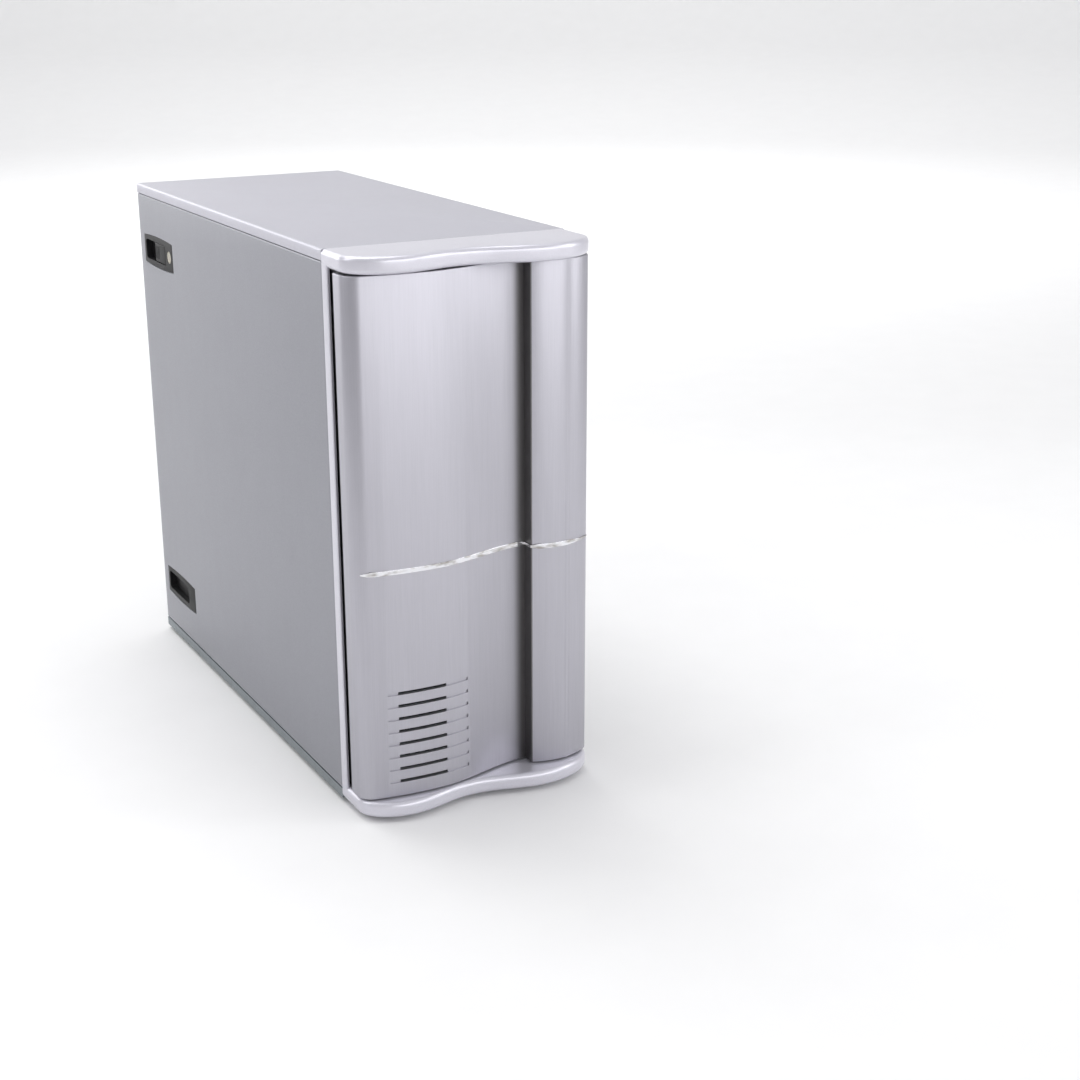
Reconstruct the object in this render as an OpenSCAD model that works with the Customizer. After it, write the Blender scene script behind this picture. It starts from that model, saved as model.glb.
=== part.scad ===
// Desktop computer tower: steel case, silver bezel with a waved door, side panels with
// locking handles, and the parts it holds. Front faces -Y, up is +Z, X is across.
// The origin is under the middle of the whole tower, on the floor.

/* [Case] */
// Width over the side panels
case_w = 202; // [196:1:250]
// Depth of the steel case, from the back of the bezel to the rear panel
case_d = 440; // [420:5:560]
// Height of the case over its top cover, without feet
case_h = 436; // [430:2:540]
// Height of the rubber feet
foot_h = 4; // [3:0.5:10]
// Radius of a rubber foot
foot_r = 13; // [8:0.5:16]
// Thickness of the steel sheet
sheet = 1; // [0.8:0.1:1.2]
// Height of the strip that the top cover folds down over each side
top_fold = 8.5; // [6:0.5:12]
// Height of the strip that the base folds up at each side
base_fold = 8; // [6:0.5:12]
// Width of the flanges that show on the rear
rear_flange = 9.5; // [9:0.5:12]

/* [Bezel and door] */
// Depth of the bezel at the furthest point of its lips
bezel_depth = 61; // [56:1:75]
// Thickness of the waved lips above and below the door
lip_t = 13; // [10:0.5:16]
// Wall thickness of the bezel moulding
bezel_wall = 2.5; // [2:0.1:3]
// Depth of the bezel's side walls
side_wall_d = 9; // [8:0.5:10]
// Thickness of the door's aluminium skin
skin_t = 1.5; // [1:0.1:2]
// Thickness of the door's plastic frame
door_frame_t = 2; // [1.5:0.1:3]
// Gap between the door and each lip
door_gap = 1.2; // [0.8:0.1:2]
// Radius of a door hinge pin
pin_r = 2; // [1.5:0.1:2.5]
// Height of the middle of the chrome strip above the base
strip_z = 199; // [150:1:260]
// Height of the chrome strip
strip_h = 4; // [2:0.5:6]
// How far the chrome strip stands out from the skin
strip_out = 0.8; // [0.4:0.1:1.2]
// Height of a door vent slot
vent_h = 2.6; // [1.5:0.1:4]
// Pitch of the vent slots
vent_pitch = 10.5; // [8:0.5:14]
// Number of vent slots
vent_n = 8; // [4:1:10]
// Length of a vent slot
vent_l = 40; // [20:1:50]

/* [Drive bays] */
// Width of a large drive bay
bay_w = 149; // [148:0.5:151]
// Height pitch of the large bays
bay_pitch = 42.9; // [42:0.1:44]
// Number of large bays
bay_n = 4; // [2:1:4]
// Width of a small drive bay
small_bay_w = 102.4; // [102:0.1:104]
// Height pitch of the small bays
small_pitch = 26.2; // [26:0.1:28]
// Depth of the optical drive behind its faceplate
drive_d = 172; // [150:1:190]
// Height of the disc drive door's front
tray_h = 13; // [10:0.5:16]

/* [Side panels] */
// Length of a handle
handle_l = 80; // [60:1:90]
// Height of a handle at its ends
handle_h = 25; // [20:1:32]
// Extra height of a handle at its middle
handle_bow = 1.6; // [1:0.1:3]
// Depth of a handle behind the panel's outer face
handle_d = 7.5; // [6:0.1:8]
// Distance of a handle from the rear edge of the panel
handle_back = 13; // [10:1:30]
// Radius of the lock barrel
lock_r = 5.5; // [4:0.1:6]

/* [Power supply] */
// Width of the power supply's rear face
psu_w = 174; // [150:1:176]
// Height of the power supply's rear face
psu_height = 93; // [86:1:95]
// Depth of the power supply
psu_d = 150; // [140:1:180]
// Radius of the power supply's fan
psu_fan_r = 43; // [38:0.5:44]

/* [Board and slots] */
// Pitch of the expansion slots
slot_pitch = 20.32; // [20.32:0.01:20.32]
// Number of expansion slots
slot_n = 7; // [4:1:7]
// Height of the connector opening
io_h = 158.75; // [158.75:0.01:158.75]
// Width of the connector opening
io_w = 44.45; // [44.45:0.01:44.45]
// Board height, up the case
board_h = 302; // [244:1:305]
// Board depth, from the rear towards the front
board_d = 244; // [190:1:244]

/* [Fans and buttons] */
// Width of a case fan
fan_w = 120; // [92:1:120]
// Depth of a case fan
fan_d = 25; // [20:1:30]
// Hole spacing of a case fan
fan_holes = 105; // [82.5:0.5:105]
// Radius of the power button
power_r = 9; // [7:0.5:11]
// Radius of the reset button
reset_r = 4; // [3:0.5:5]
// Travel of the power and reset buttons
button_travel = 2.5; // [1.5:0.1:3]

/* [Fits] */
// Gap between pieces that lift apart
gap = 0.5; // [0.3:0.1:0.8]
// Radial clearance of a running fit
run = 0.05; // [0.02:0.01:0.1]
// Radial clearance around a button or a lever
play = 0.4; // [0.3:0.05:0.6]

/* [Hidden] */

bezel_d = bezel_depth;

// Main planes
loop_out = 10;                                // how far the padlock loop stands out
hw = case_w / 2;
y_front = -(bezel_d + case_d + loop_out) / 2;
y_joint = y_front + bezel_d;                  // back of the bezel, front of the steel case
y_rear = y_joint + case_d;                    // outer face of the rear flanges
y_back = y_rear - sheet;                      // outer face of the rear panel
y_in = y_back - sheet;                        // inner face of the rear panel
z0 = foot_h;
z1 = foot_h + case_h;
eps = 0.01;

// Bezel and door outlines, in a frame whose Y is zero at the back of the bezel
lip_left_x = -0.6 * hw;
lip_left_d = bezel_d - 4.5;
lip_dip_x = -0.1 * hw;
lip_dip_d = bezel_d - 12.5;
lip_right_x = 0.54 * hw;
lip_left_corner = 27;
lip_right_corner = 30;
bulge_x = -0.376 * hw;
bulge_d = bezel_d - 13;
bulge_r = 250;
door_corner_l = 14;
door_corner_r = 10;
step_x = 0.465 * hw;
valley_d = bezel_d - 28.4;
column_x = 0.693 * hw;
column_d = bezel_d - 12.5;
column_r = 52;
door_back_l = 20;
door_back_r = bezel_d - 39;
door_z0 = z0 + lip_t + door_gap;
door_z1 = z1 - lip_t - door_gap;

// Door hinge
hinge_x = hw - 11;
hinge_y = y_front + 35;
barrel_r = 5;
pin_hold = 10;

// Inner bezel, behind the door
inner_face_d = 14;
inner_x0 = -hw + skin_t + door_frame_t + 1;
inner_x1 = hinge_x - 18.5;
flange_d = 5.5;
inner_z0 = z0 + lip_t + gap;
inner_z1 = z1 - lip_t - gap;

// Drive bays, counted down from the top
bay_cx = (inner_x0 + inner_x1) / 2 + 2;
bay_top = z1 - 24;
bay_bottom = bay_top - bay_n * bay_pitch;
small_top = bay_bottom - 3;
small_n = 2;
small_bottom = small_top - small_n * small_pitch;
bay_h = bay_pitch - 1.4;
small_h = small_pitch - 1.2;
bay_w_cover = bay_w - 1;
small_w_cover = small_bay_w - 1;
cage_z0 = small_bottom - 34;

// Controls, between the small bays and the intake
control_z = small_bottom - 20;
power_x = bay_cx - 52;
reset_x = bay_cx - 30;
lights_x = bay_cx - 15;
ports_x = bay_cx + 8;

// Fans
intake_z = z0 + lip_t + 6 + fan_w / 2;
intake_y = y_joint + sheet + gap;
exhaust_x = hw - 66;
exhaust_z = z1 - 174;
exhaust_y = y_in - fan_d - gap;
rotor_gap = 1.5;
fan_pin_r = 2.5;
grille_r = 57;
hex_pitch = 8.9;
hex_r = 3.3;

// Side panels and handles
panel_z0 = z0 + base_fold + gap;
panel_z1 = z1 - top_fold - gap;
hem = 6;
handle_y = y_rear - handle_back - handle_l / 2;
handle_zu = z1 - 57.5;
handle_zl = z0 + 53.5;
lock_y = handle_y - handle_l / 2 + 11;
lever_l = 44;
lever_h = 17;
lever_y0 = lock_y + lock_r + 3.5;
lever_pin_r = 1;
panel_screw_z = [z0 + 70, z1 - 76];
panel_screw_in = 5.5;

// Power supply
psu_h = psu_height;
psu_fan_edge = 2.5;                           // least wall between the fan opening and the supply's edge
psu_fan = min(psu_fan_r, psu_h / 2 - psu_fan_edge);
psu_cz = z1 - 18.5 - psu_h / 2;
psu_sheet = 1.2;
psu_fan_x = 35.5;
psu_cut = 2;
inlet_x = -53;
inlet_z = psu_cz + psu_h / 2 - 22.5;
inlet_w = 40;
inlet_h = 28;
switch_z = inlet_z - 21.5;
switch_travel = 6;

// Board
board_x = -hw + 19;
board_t = 1.6;
tray_x = -hw + 10;
board_z0 = z0 + 15;
io_cx = board_x + 2.3 + io_w / 2 - 4;
io_cz = z0 + 157 + io_h / 2;
slot_z0 = z0 + 22;
slot_x0 = -hw + 15;
slot_x1 = slot_x0 + 109;
cover_w = 18.4;
cpu_y = y_in - 95;
cpu_z = board_z0 + 222;
cpu_sink = 70;

// Screw places on the rear: x and z
flange_screws = [for (x = [-hw + 23, 0, hw - 23]) for (z = [z0 + 5, z1 - 5]) [x, z]];
psu_screws = [for (x = [-1, 1]) for (z = [-1, 1]) [x * (psu_w / 2 - 6), psu_cz + z * (psu_h / 2 - 6)]];
fan_screws = [for (x = [-1, 1]) for (z = [-1, 1]) [exhaust_x + x * fan_holes / 2, exhaust_z + z * fan_holes / 2]];
screw_r = 1.5;
screw_head_r = 3.4;
screw_hole_r = 1.8;
rivet_list = [[hw - 63, z0 + 14], [hw - 73, z0 + 33], [hw - 73, z0 + 133], [hw - 42, z0 + 56], [hw - 42, z0 + 112],
    [hw - 107, z0 + 157], [hw - 60, z0 + 153], [-27, z0 + 191]];

// ---------------------------------------------------------------- outlines

function ease(t) = (1 - cos(180 * t)) / 2;
function wave(x0, d0, x1, d1, n = 10) = [for (i = [0 : n]) let (t = i / n) [x0 + (x1 - x0) * t, -d0 - (d1 - d0) * ease(t)]];
function arc(cx, cd, rx, ry, a0, a1, n = 10) = [for (i = [0 : n]) let (a = a0 + (a1 - a0) * i / n) [cx + rx * cos(a), -cd - ry * sin(a)]];

// Front edge of a lip, set in by i
function lip_line(i, back = 0) = concat(
    [[-hw + i, back]],
    arc(lip_left_x, lip_left_d - lip_left_corner, hw + lip_left_x - i, lip_left_corner - i, 180, 94, 12),
    wave(lip_left_x, lip_left_d - i, lip_dip_x, lip_dip_d - i),
    [for (p = wave(lip_dip_x, lip_dip_d - i, lip_right_x, bezel_d - i)) if (p[0] > lip_dip_x + 1) p],
    arc(lip_right_x, bezel_d - lip_right_corner, hw - lip_right_x - i, lip_right_corner - i, 86, 0, 12),
    [[hw - i, back]]);

// Face of the door, set in by i, from its left rear edge round to its right rear edge
bulge_cd = bulge_d - bulge_r;
corner_cx = -hw + door_corner_l;
corner_cd = bulge_cd + sqrt(pow(bulge_r - door_corner_l, 2) - pow(corner_cx - bulge_x, 2));
corner_a = atan2(corner_cd - bulge_cd, corner_cx - bulge_x);
column_cd = column_d - column_r;
right_cx = hw - door_corner_r;
right_cd = column_cd + sqrt(pow(column_r - door_corner_r, 2) - pow(right_cx - column_x, 2));
right_a = atan2(right_cd - column_cd, right_cx - column_x);
function column_a(i) = acos((step_x + i - column_x) / (column_r - i));
function door_line(i) = concat(
    [[-hw + i, -door_back_l]],
    arc(corner_cx, corner_cd, door_corner_l - i, door_corner_l - i, 180, corner_a, 8),
    [for (k = [1 : 6]) let (a = corner_a + (90 - corner_a) * k / 6) [bulge_x + (bulge_r - i) * cos(a), -bulge_cd - (bulge_r - i) * sin(a)]],
    [for (p = wave(bulge_x, bulge_d - i, step_x + i, valley_d - i, 14)) if (p[0] > bulge_x + 1) p],
    arc(column_x, column_cd, column_r - i, column_r - i, column_a(i), right_a, 10),
    [for (k = [1 : 6]) let (a = right_a * (1 - k / 6)) [right_cx + (door_corner_r - i) * cos(a), -right_cd - (door_corner_r - i) * sin(a)]],
    [[hw - i, -door_back_r]]);
function reversed(v) = [for (k = [len(v) - 1 : -1 : 0]) v[k]];
// A wall of the door between two depths of inset
module door_wall(a, b, z, h) {
    translate([0, y_joint, z]) linear_extrude(h) polygon(concat(door_line(a), reversed(door_line(b))));
}

// Handle outline: flat ends, bowed top and bottom, in Y and Z about its middle
bow_r = (pow(handle_l / 2, 2) + pow(handle_bow, 2)) / (2 * handle_bow);
bow_a = asin(handle_l / 2 / bow_r);
function bow(i, s, n = 8) = [for (k = [0 : n]) let (a = bow_a * (1 - 2 * k / n))
    [s * (bow_r * sin(a) * (1 - i / (handle_l / 2))), s * (handle_h / 2 - i + handle_bow - bow_r + bow_r * cos(a))]];
function handle_line(i) = concat(bow(i, 1), bow(i, -1));

// ---------------------------------------------------------------- shared shapes

// A rod or hole along Y, from y to y + l
module rod_y(x, y, z, r, l, f = 24) { translate([x, y, z]) rotate([-90, 0, 0]) cylinder(r = r, h = l, $fn = f); }
// A rod or hole along X, from x to x + l
module rod_x(x, y, z, r, l, f = 24) { translate([x, y, z]) rotate([0, 90, 0]) cylinder(r = r, h = l, $fn = f); }
// A plate in X and Z, from y to y + t
module plate(x0, x1, y, z_low, z_high, t) { translate([x0, y, z_low]) cube([x1 - x0, t, z_high - z_low]); }
// A box from its two corners
module block(a, b) { translate(a) cube(b - a); }
// Holes at a list of places on the rear
module rear_holes(list, r, y, l) { for (p = list) rod_y(p[0], y, p[1], r, l); }
// A pan head screw at a place on the rear, pointing into the case
module rear_screw(x, z, y, l = 5) {
    rod_y(x, y, z, screw_head_r, 1.6);
    rod_y(x, y - l, z, screw_r, l + 0.2);
}
// A square fan frame whose axis runs along Y, with its motor plate at the high Y side
module fan_frame(w, d, bore_r) {
    difference() {
        translate([-w / 2, 0, -w / 2]) cube([w, d, w]);
        rod_y(0, -1, 0, bore_r, d + 2, 64);
        for (x = [-1, 1]) for (z = [-1, 1]) rod_y(x * w * 0.4375, -1, z * w * 0.4375, 2.1, d + 2);
    }
    rod_y(0, d - 3, 0, w * 0.17, 3, 48);
    for (a = [45 : 90 : 315]) rotate([0, a, 0]) translate([w * 0.15, d - 3, -1.5]) cube([bore_r - w * 0.15 + 0.5, 3, 3]);
    rod_y(0, d - 15, 0, fan_pin_r, 13);
}
// The rotor that turns on the frame's pin
module fan_rotor(w, d, tip_r, blades = 7) {
    hub_r = w * 0.18;
    difference() {
        union() {
            rod_y(0, 2, 0, hub_r, d - 6, 48);
            for (k = [0 : blades - 1]) rotate([0, k * 360 / blades, 0]) translate([hub_r - 1, d / 2 - 1, 0])
                rotate([32, 0, 0]) translate([0, -0.9, -w * 0.11]) cube([tip_r - hub_r - 1, 1.8, w * 0.22]);
        }
        rod_y(0, d - 16, 0, fan_pin_r + run, 20);
    }
}

// ---------------------------------------------------------------- steel case

module chassis_base() color("lightsteelblue") difference() {
    union() {
        block([-hw, y_joint, z0], [hw, y_rear, z0 + sheet]);
        for (s = [0, 1]) mirror([s, 0, 0]) block([-hw, y_joint, z0], [-hw + sheet, y_rear, z0 + base_fold]);
        plate(-hw + sheet + gap, hw - sheet - gap, y_rear - sheet, z0, z0 + rear_flange, sheet);
    }
    rear_holes([for (p = flange_screws) if (p[1] < z1 / 2) p], screw_hole_r, y_rear - 3, 4);
    for (x = [-1, 1]) for (y = [-1, 1]) translate([x * (hw - 22), (y_joint + y_rear) / 2 + y * (case_d / 2 - 40), z0 - 1])
        cylinder(r = 3, h = 4, $fn = 24);
}

module top_cover() color("gainsboro") difference() {
    union() {
        block([-hw, y_joint, z1 - sheet], [hw, y_rear, z1]);
        for (s = [0, 1]) mirror([s, 0, 0]) block([-hw, y_joint, z1 - top_fold], [-hw + sheet, y_rear, z1]);
        plate(-hw + sheet + gap, hw - sheet - gap, y_rear - sheet, z1 - rear_flange, z1, sheet);
    }
    rear_holes([for (p = flange_screws) if (p[1] > z1 / 2) p], screw_hole_r, y_rear - 3, 4);
}

// Opening in the rear panel in front of the power supply, with cut corners
module psu_window(y, l, in = psu_cut, chamfer = 16) {
    x = psu_w / 2 - in;
    z = psu_h / 2 - in;
    translate([0, y + l, psu_cz]) rotate([90, 0, 0]) linear_extrude(l)
        polygon([[-x, -z + chamfer], [-x + chamfer, -z], [x - chamfer, -z], [x, -z + chamfer], [x, z - chamfer],
            [x - chamfer, z], [-x + chamfer, z], [-x, z - chamfer]]);
}

hex_rows = floor(grille_r / (hex_pitch * 0.866));
module hex_grille(y, l) {
    for (r = [-hex_rows : hex_rows]) for (c = [-8 : 8]) {
        x = (c + (r % 2 == 0 ? 0 : 0.5)) * hex_pitch;
        z = r * hex_pitch * 0.866;
        if (norm([x, z]) < grille_r - hex_r + 0.6)
            translate([exhaust_x + x, y, exhaust_z + z]) rotate([-90, 30, 0]) cylinder(r = hex_r, h = l, $fn = 6);
    }
}

slot_field_z1 = slot_z0 + (slot_n - 1) * slot_pitch + cover_w / 2 + 1;
module rear_panel() color("lightslategray") difference() {
    plate(-hw + sheet, hw - sheet, y_in, z0 + sheet, z1 - sheet, sheet);
    psu_window(y_in - 1, 4);
    hex_grille(y_in - 1, 4);
    plate(io_cx - io_w / 2, io_cx + io_w / 2, y_in - 1, io_cz - io_h / 2, io_cz + io_h / 2, 4);
    for (k = [0 : slot_n - 1]) plate(slot_x0 + 4, slot_x1 - 3, y_in - 1, slot_z0 + k * slot_pitch - 7, slot_z0 + k * slot_pitch + 7, 4);
    rear_holes(concat(flange_screws, psu_screws, fan_screws, rivet_list), screw_hole_r, y_in - 1, 4);
    // open notches, so that a side panel comes away with its screws slackened
    for (s = [-1, 1]) for (z = panel_screw_z) {
        rod_y(s * (hw - panel_screw_in), y_in - 1, z, screw_hole_r, 4);
        plate(s > 0 ? hw - panel_screw_in : -hw, s > 0 ? hw : -hw + panel_screw_in, y_in - 1, z - screw_hole_r, z + screw_hole_r, 4);
    }
    // slots for the cover latches, the key hook and the padlock loop
    for (z = [165, 181]) plate(hw - 70, hw - 58, y_in - 1, z0 + z, z0 + z + 2.4, 4);
    for (z = [45, 83.5, 121]) plate(hw - 49, hw - 45, y_in - 1, z0 + z - 4, z0 + z + 4, 4);
}

module motherboard_tray() color("lightsteelblue") {
    block([tray_x, y_in - board_d - 16, z0 + sheet], [tray_x + sheet, y_in, board_z0 + board_h + 6]);
    for (y = [8, board_d / 2, board_d - 10]) for (z = [10, board_h / 2, board_h - 10])
        rod_x(tray_x + sheet - eps, y_in - y - 2, board_z0 + z, 3, board_x - board_t - tray_x - sheet + eps);
}

module front_panel() color("lightsteelblue") difference() {
    plate(-hw + sheet + gap, hw - sheet - gap, y_joint, z0 + sheet, z1 - top_fold - sheet, sheet);
    plate(bay_cx - bay_w / 2, bay_cx + bay_w / 2, y_joint - 1, bay_bottom, bay_top, 4);
    plate(bay_cx - small_bay_w / 2, bay_cx + small_bay_w / 2, y_joint - 1, small_bottom, small_top, 4);
    plate(power_x - 14, ports_x + 42, y_joint - 1, control_z - 13, control_z + 13, 4);
    rod_y(bay_cx, y_joint - 1, intake_z, fan_w / 2 - 4, 4, 64);
}

module drive_cage() color("lightsteelblue") {
    for (s = [-1, 1]) {
        plate_x = bay_cx + s * (bay_w / 2 + 0.6);
        block([plate_x - 0.5, y_joint + sheet, bay_bottom - 1], [plate_x + 0.5, y_joint + 190, z1 - sheet - 0.2]);
        small_x = bay_cx + s * (small_bay_w / 2 + 0.6);
        block([small_x - 0.5, y_joint + sheet, cage_z0], [small_x + 0.5, y_joint + 165, bay_bottom - 2]);
    }
    block([bay_cx - bay_w / 2 - 1.1, y_joint + sheet, bay_bottom - 2], [bay_cx + bay_w / 2 + 1.1, y_joint + 190, bay_bottom - 1]);
    block([bay_cx - small_bay_w / 2 - 1.1, y_joint + sheet, cage_z0 - 1], [bay_cx + small_bay_w / 2 + 1.1, y_joint + 165, cage_z0]);
}

module feet() color("dimgray") for (x = [-1, 1]) for (y = [-1, 1])
    translate([x * (hw - 22), (y_joint + y_rear) / 2 + y * (case_d / 2 - 40), 0]) {
        cylinder(r1 = foot_r - 1.5, r2 = foot_r, h = foot_h, $fn = 40);
        translate([0, 0, foot_h - eps]) cylinder(r = 2.9, h = 3, $fn = 24);
    }

// ---------------------------------------------------------------- bezel

module lip(z) difference() {
    translate([0, y_joint, z]) linear_extrude(lip_t) polygon(lip_line(0));
    translate([0, y_joint, z + bezel_wall]) linear_extrude(lip_t - 2 * bezel_wall) polygon(lip_line(bezel_wall, 1));
}
module bezel_shell() color("silver") difference() {
    union() {
        lip(z0);
        lip(z1 - lip_t);
        for (z = [z0 + 1, z1 - lip_t + 1]) translate([hinge_x, hinge_y, z]) cylinder(r = 4.5, h = lip_t - 2, $fn = 32);
        for (s = [-1, 1]) block([s > 0 ? hw - bezel_wall : -hw, y_joint - (s > 0 ? side_wall_d - 1 : side_wall_d), z0 + lip_t - 1],
            [s > 0 ? hw : -hw + bezel_wall, y_joint, z1 - lip_t + 1]);
    }
    translate([hinge_x, hinge_y, z0 + 3]) cylinder(r = pin_r, h = lip_t, $fn = 32);
    translate([hinge_x, hinge_y, z1 - lip_t - 3]) cylinder(r = pin_r, h = lip_t, $fn = 32);
}
module hinge_pins() color("silver") {
    translate([hinge_x, hinge_y, z0 + 3]) cylinder(r = pin_r, h = door_z0 + pin_hold - z0 - 3, $fn = 32);
    translate([hinge_x, hinge_y, door_z1 - pin_hold]) cylinder(r = pin_r, h = z1 - 3 - door_z1 + pin_hold, $fn = 32);
}

module bezel_inner() color("#1c1c1e") difference() {
    union() {
        block([inner_x0, y_joint - inner_face_d, inner_z0], [inner_x1, y_joint, inner_z1]);
        block([inner_x0, y_joint - door_back_r - 1, inner_z0], [inner_x0 + 2, y_joint, inner_z1]);
        block([inner_x1 - 2, y_joint - flange_d, inner_z0], [hw - bezel_wall - gap, y_joint - flange_d + 2.5, inner_z1]);
    }
    block([inner_x0 + 2, y_joint - inner_face_d + 2.5, inner_z0 + 2], [inner_x1 - 2, y_joint + 1, inner_z1 - 2]);
    plate(bay_cx - bay_w / 2, bay_cx + bay_w / 2, y_joint - 20, bay_bottom, bay_top, 22);
    plate(bay_cx - small_bay_w / 2, bay_cx + small_bay_w / 2, y_joint - 20, small_bottom, small_top, 22);
    plate(bay_cx - grille_w / 2, bay_cx + grille_w / 2, y_joint - 20, intake_z - grille_w / 2, intake_z + grille_w / 2, 18);
    rod_y(power_x, y_joint - 20, control_z, power_r + play, 18, 48);
    rod_y(reset_x, y_joint - 20, control_z, reset_r + play, 18, 32);
    for (k = [0, 1]) rod_y(lights_x, y_joint - 20, control_z - 5 + 10 * k, 1.5, 18);
    plate(ports_x - 4, ports_x + 38, y_joint - 20, control_z - 7, control_z + 7, 18);
}
grille_w = fan_w + 2;
module intake_grille() color("#232326") translate([bay_cx, y_joint - inner_face_d + 0.5, intake_z]) difference() {
    plate(-grille_w / 2 + 0.2, grille_w / 2 - 0.2, 0, -grille_w / 2 + 0.2, grille_w / 2 - 0.2, 2);
    for (k = [-6 : 6]) for (j = [0 : 3]) plate(k * 8.6 - 2.6, k * 8.6 + 2.6, -1, -56 + j * 28.5, -56 + j * 28.5 + 26, 4);
}

module cover_box(w, h, d, t) difference() {
    plate(-w / 2, w / 2, 0, -h / 2, h / 2, d);
    plate(-w / 2 + t, w / 2 - t, t, -h / 2 + t, h / 2 - t, d);
}
module bay_covers() color("#c3c4c8") {
    for (k = [1 : bay_n - 1]) translate([bay_cx, y_joint - inner_face_d - 1, bay_top - (k + 0.5) * bay_pitch]) cover_box(bay_w_cover, bay_h, 15, 2);
    for (k = [0 : small_n - 1]) translate([bay_cx, y_joint - inner_face_d - 1, small_top - (k + 0.5) * small_pitch]) cover_box(small_w_cover, small_h, 15, 2);
}
drive_z = bay_top - bay_pitch / 2;
drive_y = y_joint - inner_face_d - 1;
tray_w = 131;
tray_z = drive_z + 6;
eject_x = bay_cx + 56;
module optical_drive() color("#b9bac0") difference() {
    union() {
        plate(bay_cx - bay_w_cover / 2, bay_cx + bay_w_cover / 2, drive_y, drive_z - bay_h / 2, drive_z + bay_h / 2, 6);
        plate(bay_cx - 73, bay_cx + 73, drive_y + 5, drive_z - bay_h / 2, drive_z + bay_h / 2, drive_d);
    }
    plate(bay_cx - tray_w / 2 - 0.5, bay_cx + tray_w / 2 + 0.5, drive_y - 1, tray_z - tray_h / 2 - 0.5, tray_z + tray_h / 2 + 0.5, 150);
    plate(eject_x - 6 - play, eject_x + 6 + play, drive_y - 1, drive_z - 13 - play, drive_z - 8 + play, 9);
}
module disc_tray() color("#c3c4c8") {
    plate(bay_cx - tray_w / 2, bay_cx + tray_w / 2, drive_y, tray_z - tray_h / 2, tray_z + tray_h / 2, 4);
    difference() {
        plate(bay_cx - 64, bay_cx + 64, drive_y + 3, tray_z - 5, tray_z - 1, 128);
        translate([bay_cx, drive_y + 66, tray_z - 3.5]) cylinder(r = 60.5, h = 4, $fn = 64);
    }
}
module eject_button() color("#9fa1a8") {
    plate(eject_x - 6, eject_x + 6, drive_y - 0.8, drive_z - 13, drive_z - 8, 6);
}
module hard_drive() color("#8b8e94") {
    block([bay_cx - 50.8, y_joint + 12, cage_z0 + 3], [bay_cx + 50.8, y_joint + 158, cage_z0 + 27]);
    translate([bay_cx + 6, y_joint + 62, cage_z0 + 26]) cylinder(r = 40, h = 2, $fn = 48);
}

module power_button() color("#c9cad0") {
    rod_y(power_x, y_joint - inner_face_d - 1.5, control_z, power_r, 7, 48);
    rod_y(power_x, y_joint - inner_face_d + 5, control_z, 3, 4);
}
module reset_button() color("#c9cad0") {
    rod_y(reset_x, y_joint - inner_face_d - 1.2, control_z, reset_r, 7, 32);
    rod_y(reset_x, y_joint - inner_face_d + 5, control_z, 1.5, 4);
}
module status_lights() color("#3a6fd8") for (k = [0, 1])
    rod_y(lights_x, y_joint - inner_face_d - 0.4, control_z - 5 + 10 * k, 1.5, 8);
module front_ports() color("#c7c9cf") difference() {
    plate(ports_x - 3.8, ports_x + 37.8, y_joint - inner_face_d + 0.5, control_z - 6.8, control_z + 6.8, 9);
    for (k = [0, 1]) plate(ports_x + 1 + k * 14, ports_x + 13 + k * 14, y_joint - inner_face_d - 1, control_z - 2.4, control_z + 2.4, 9);
    rod_y(ports_x + 32.5, y_joint - inner_face_d - 1, control_z, 1.8, 9);
}

// ---------------------------------------------------------------- door

vent_x = -0.5 * hw;
vent_z0 = z0 + 27;
module vent_cuts() for (k = [0 : vent_n - 1])
    plate(vent_x - vent_l / 2, vent_x + vent_l / 2, y_joint - bezel_d, vent_z0 + k * vent_pitch - vent_h / 2, vent_z0 + k * vent_pitch + vent_h / 2, 30);
module door_skin() color("#b4b6bd") difference() {
    door_wall(0, skin_t, door_z0, door_z1 - door_z0);
    vent_cuts();
}
module door_frame() color("#77797f") difference() {
    union() {
        door_wall(skin_t, skin_t + door_frame_t, door_z0, door_z1 - door_z0);
        for (z = [door_z0, door_z1 - door_frame_t]) translate([0, y_joint, z]) linear_extrude(door_frame_t)
            polygon(concat([[-hw + skin_t + 1, -door_back_r - 2]], [for (p = door_line(skin_t + 1)) if (p[1] < -door_back_r - 2) p], [[hw - skin_t - 1, -door_back_r - 2]]));
        translate([hinge_x, hinge_y, door_z0]) cylinder(r = barrel_r, h = door_z1 - door_z0, $fn = 40);
        translate([hinge_x, hinge_y - 2, door_z0]) cube([hw - skin_t - 1 - hinge_x, 4, door_z1 - door_z0]);
        translate([hinge_x - 2, hinge_y - 12, door_z0]) cube([4, 12, door_z1 - door_z0]);
    }
    vent_cuts();
    for (z = [door_z0 - 1, door_z1 - pin_hold - 1]) translate([hinge_x, hinge_y, z]) cylinder(r = pin_r + run, h = pin_hold + 2, $fn = 32);
}
function strip_line(i) = let (v = door_line(i)) [for (k = [6 : len(v) - 6]) v[k]];
module door_strip() color("#dfe1e6") translate([0, y_joint, z0 + strip_z - strip_h / 2]) linear_extrude(strip_h)
    polygon(concat(strip_line(-strip_out), reversed(strip_line(0))));

// ---------------------------------------------------------------- side panels, at the left; mirrored for the right

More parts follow.
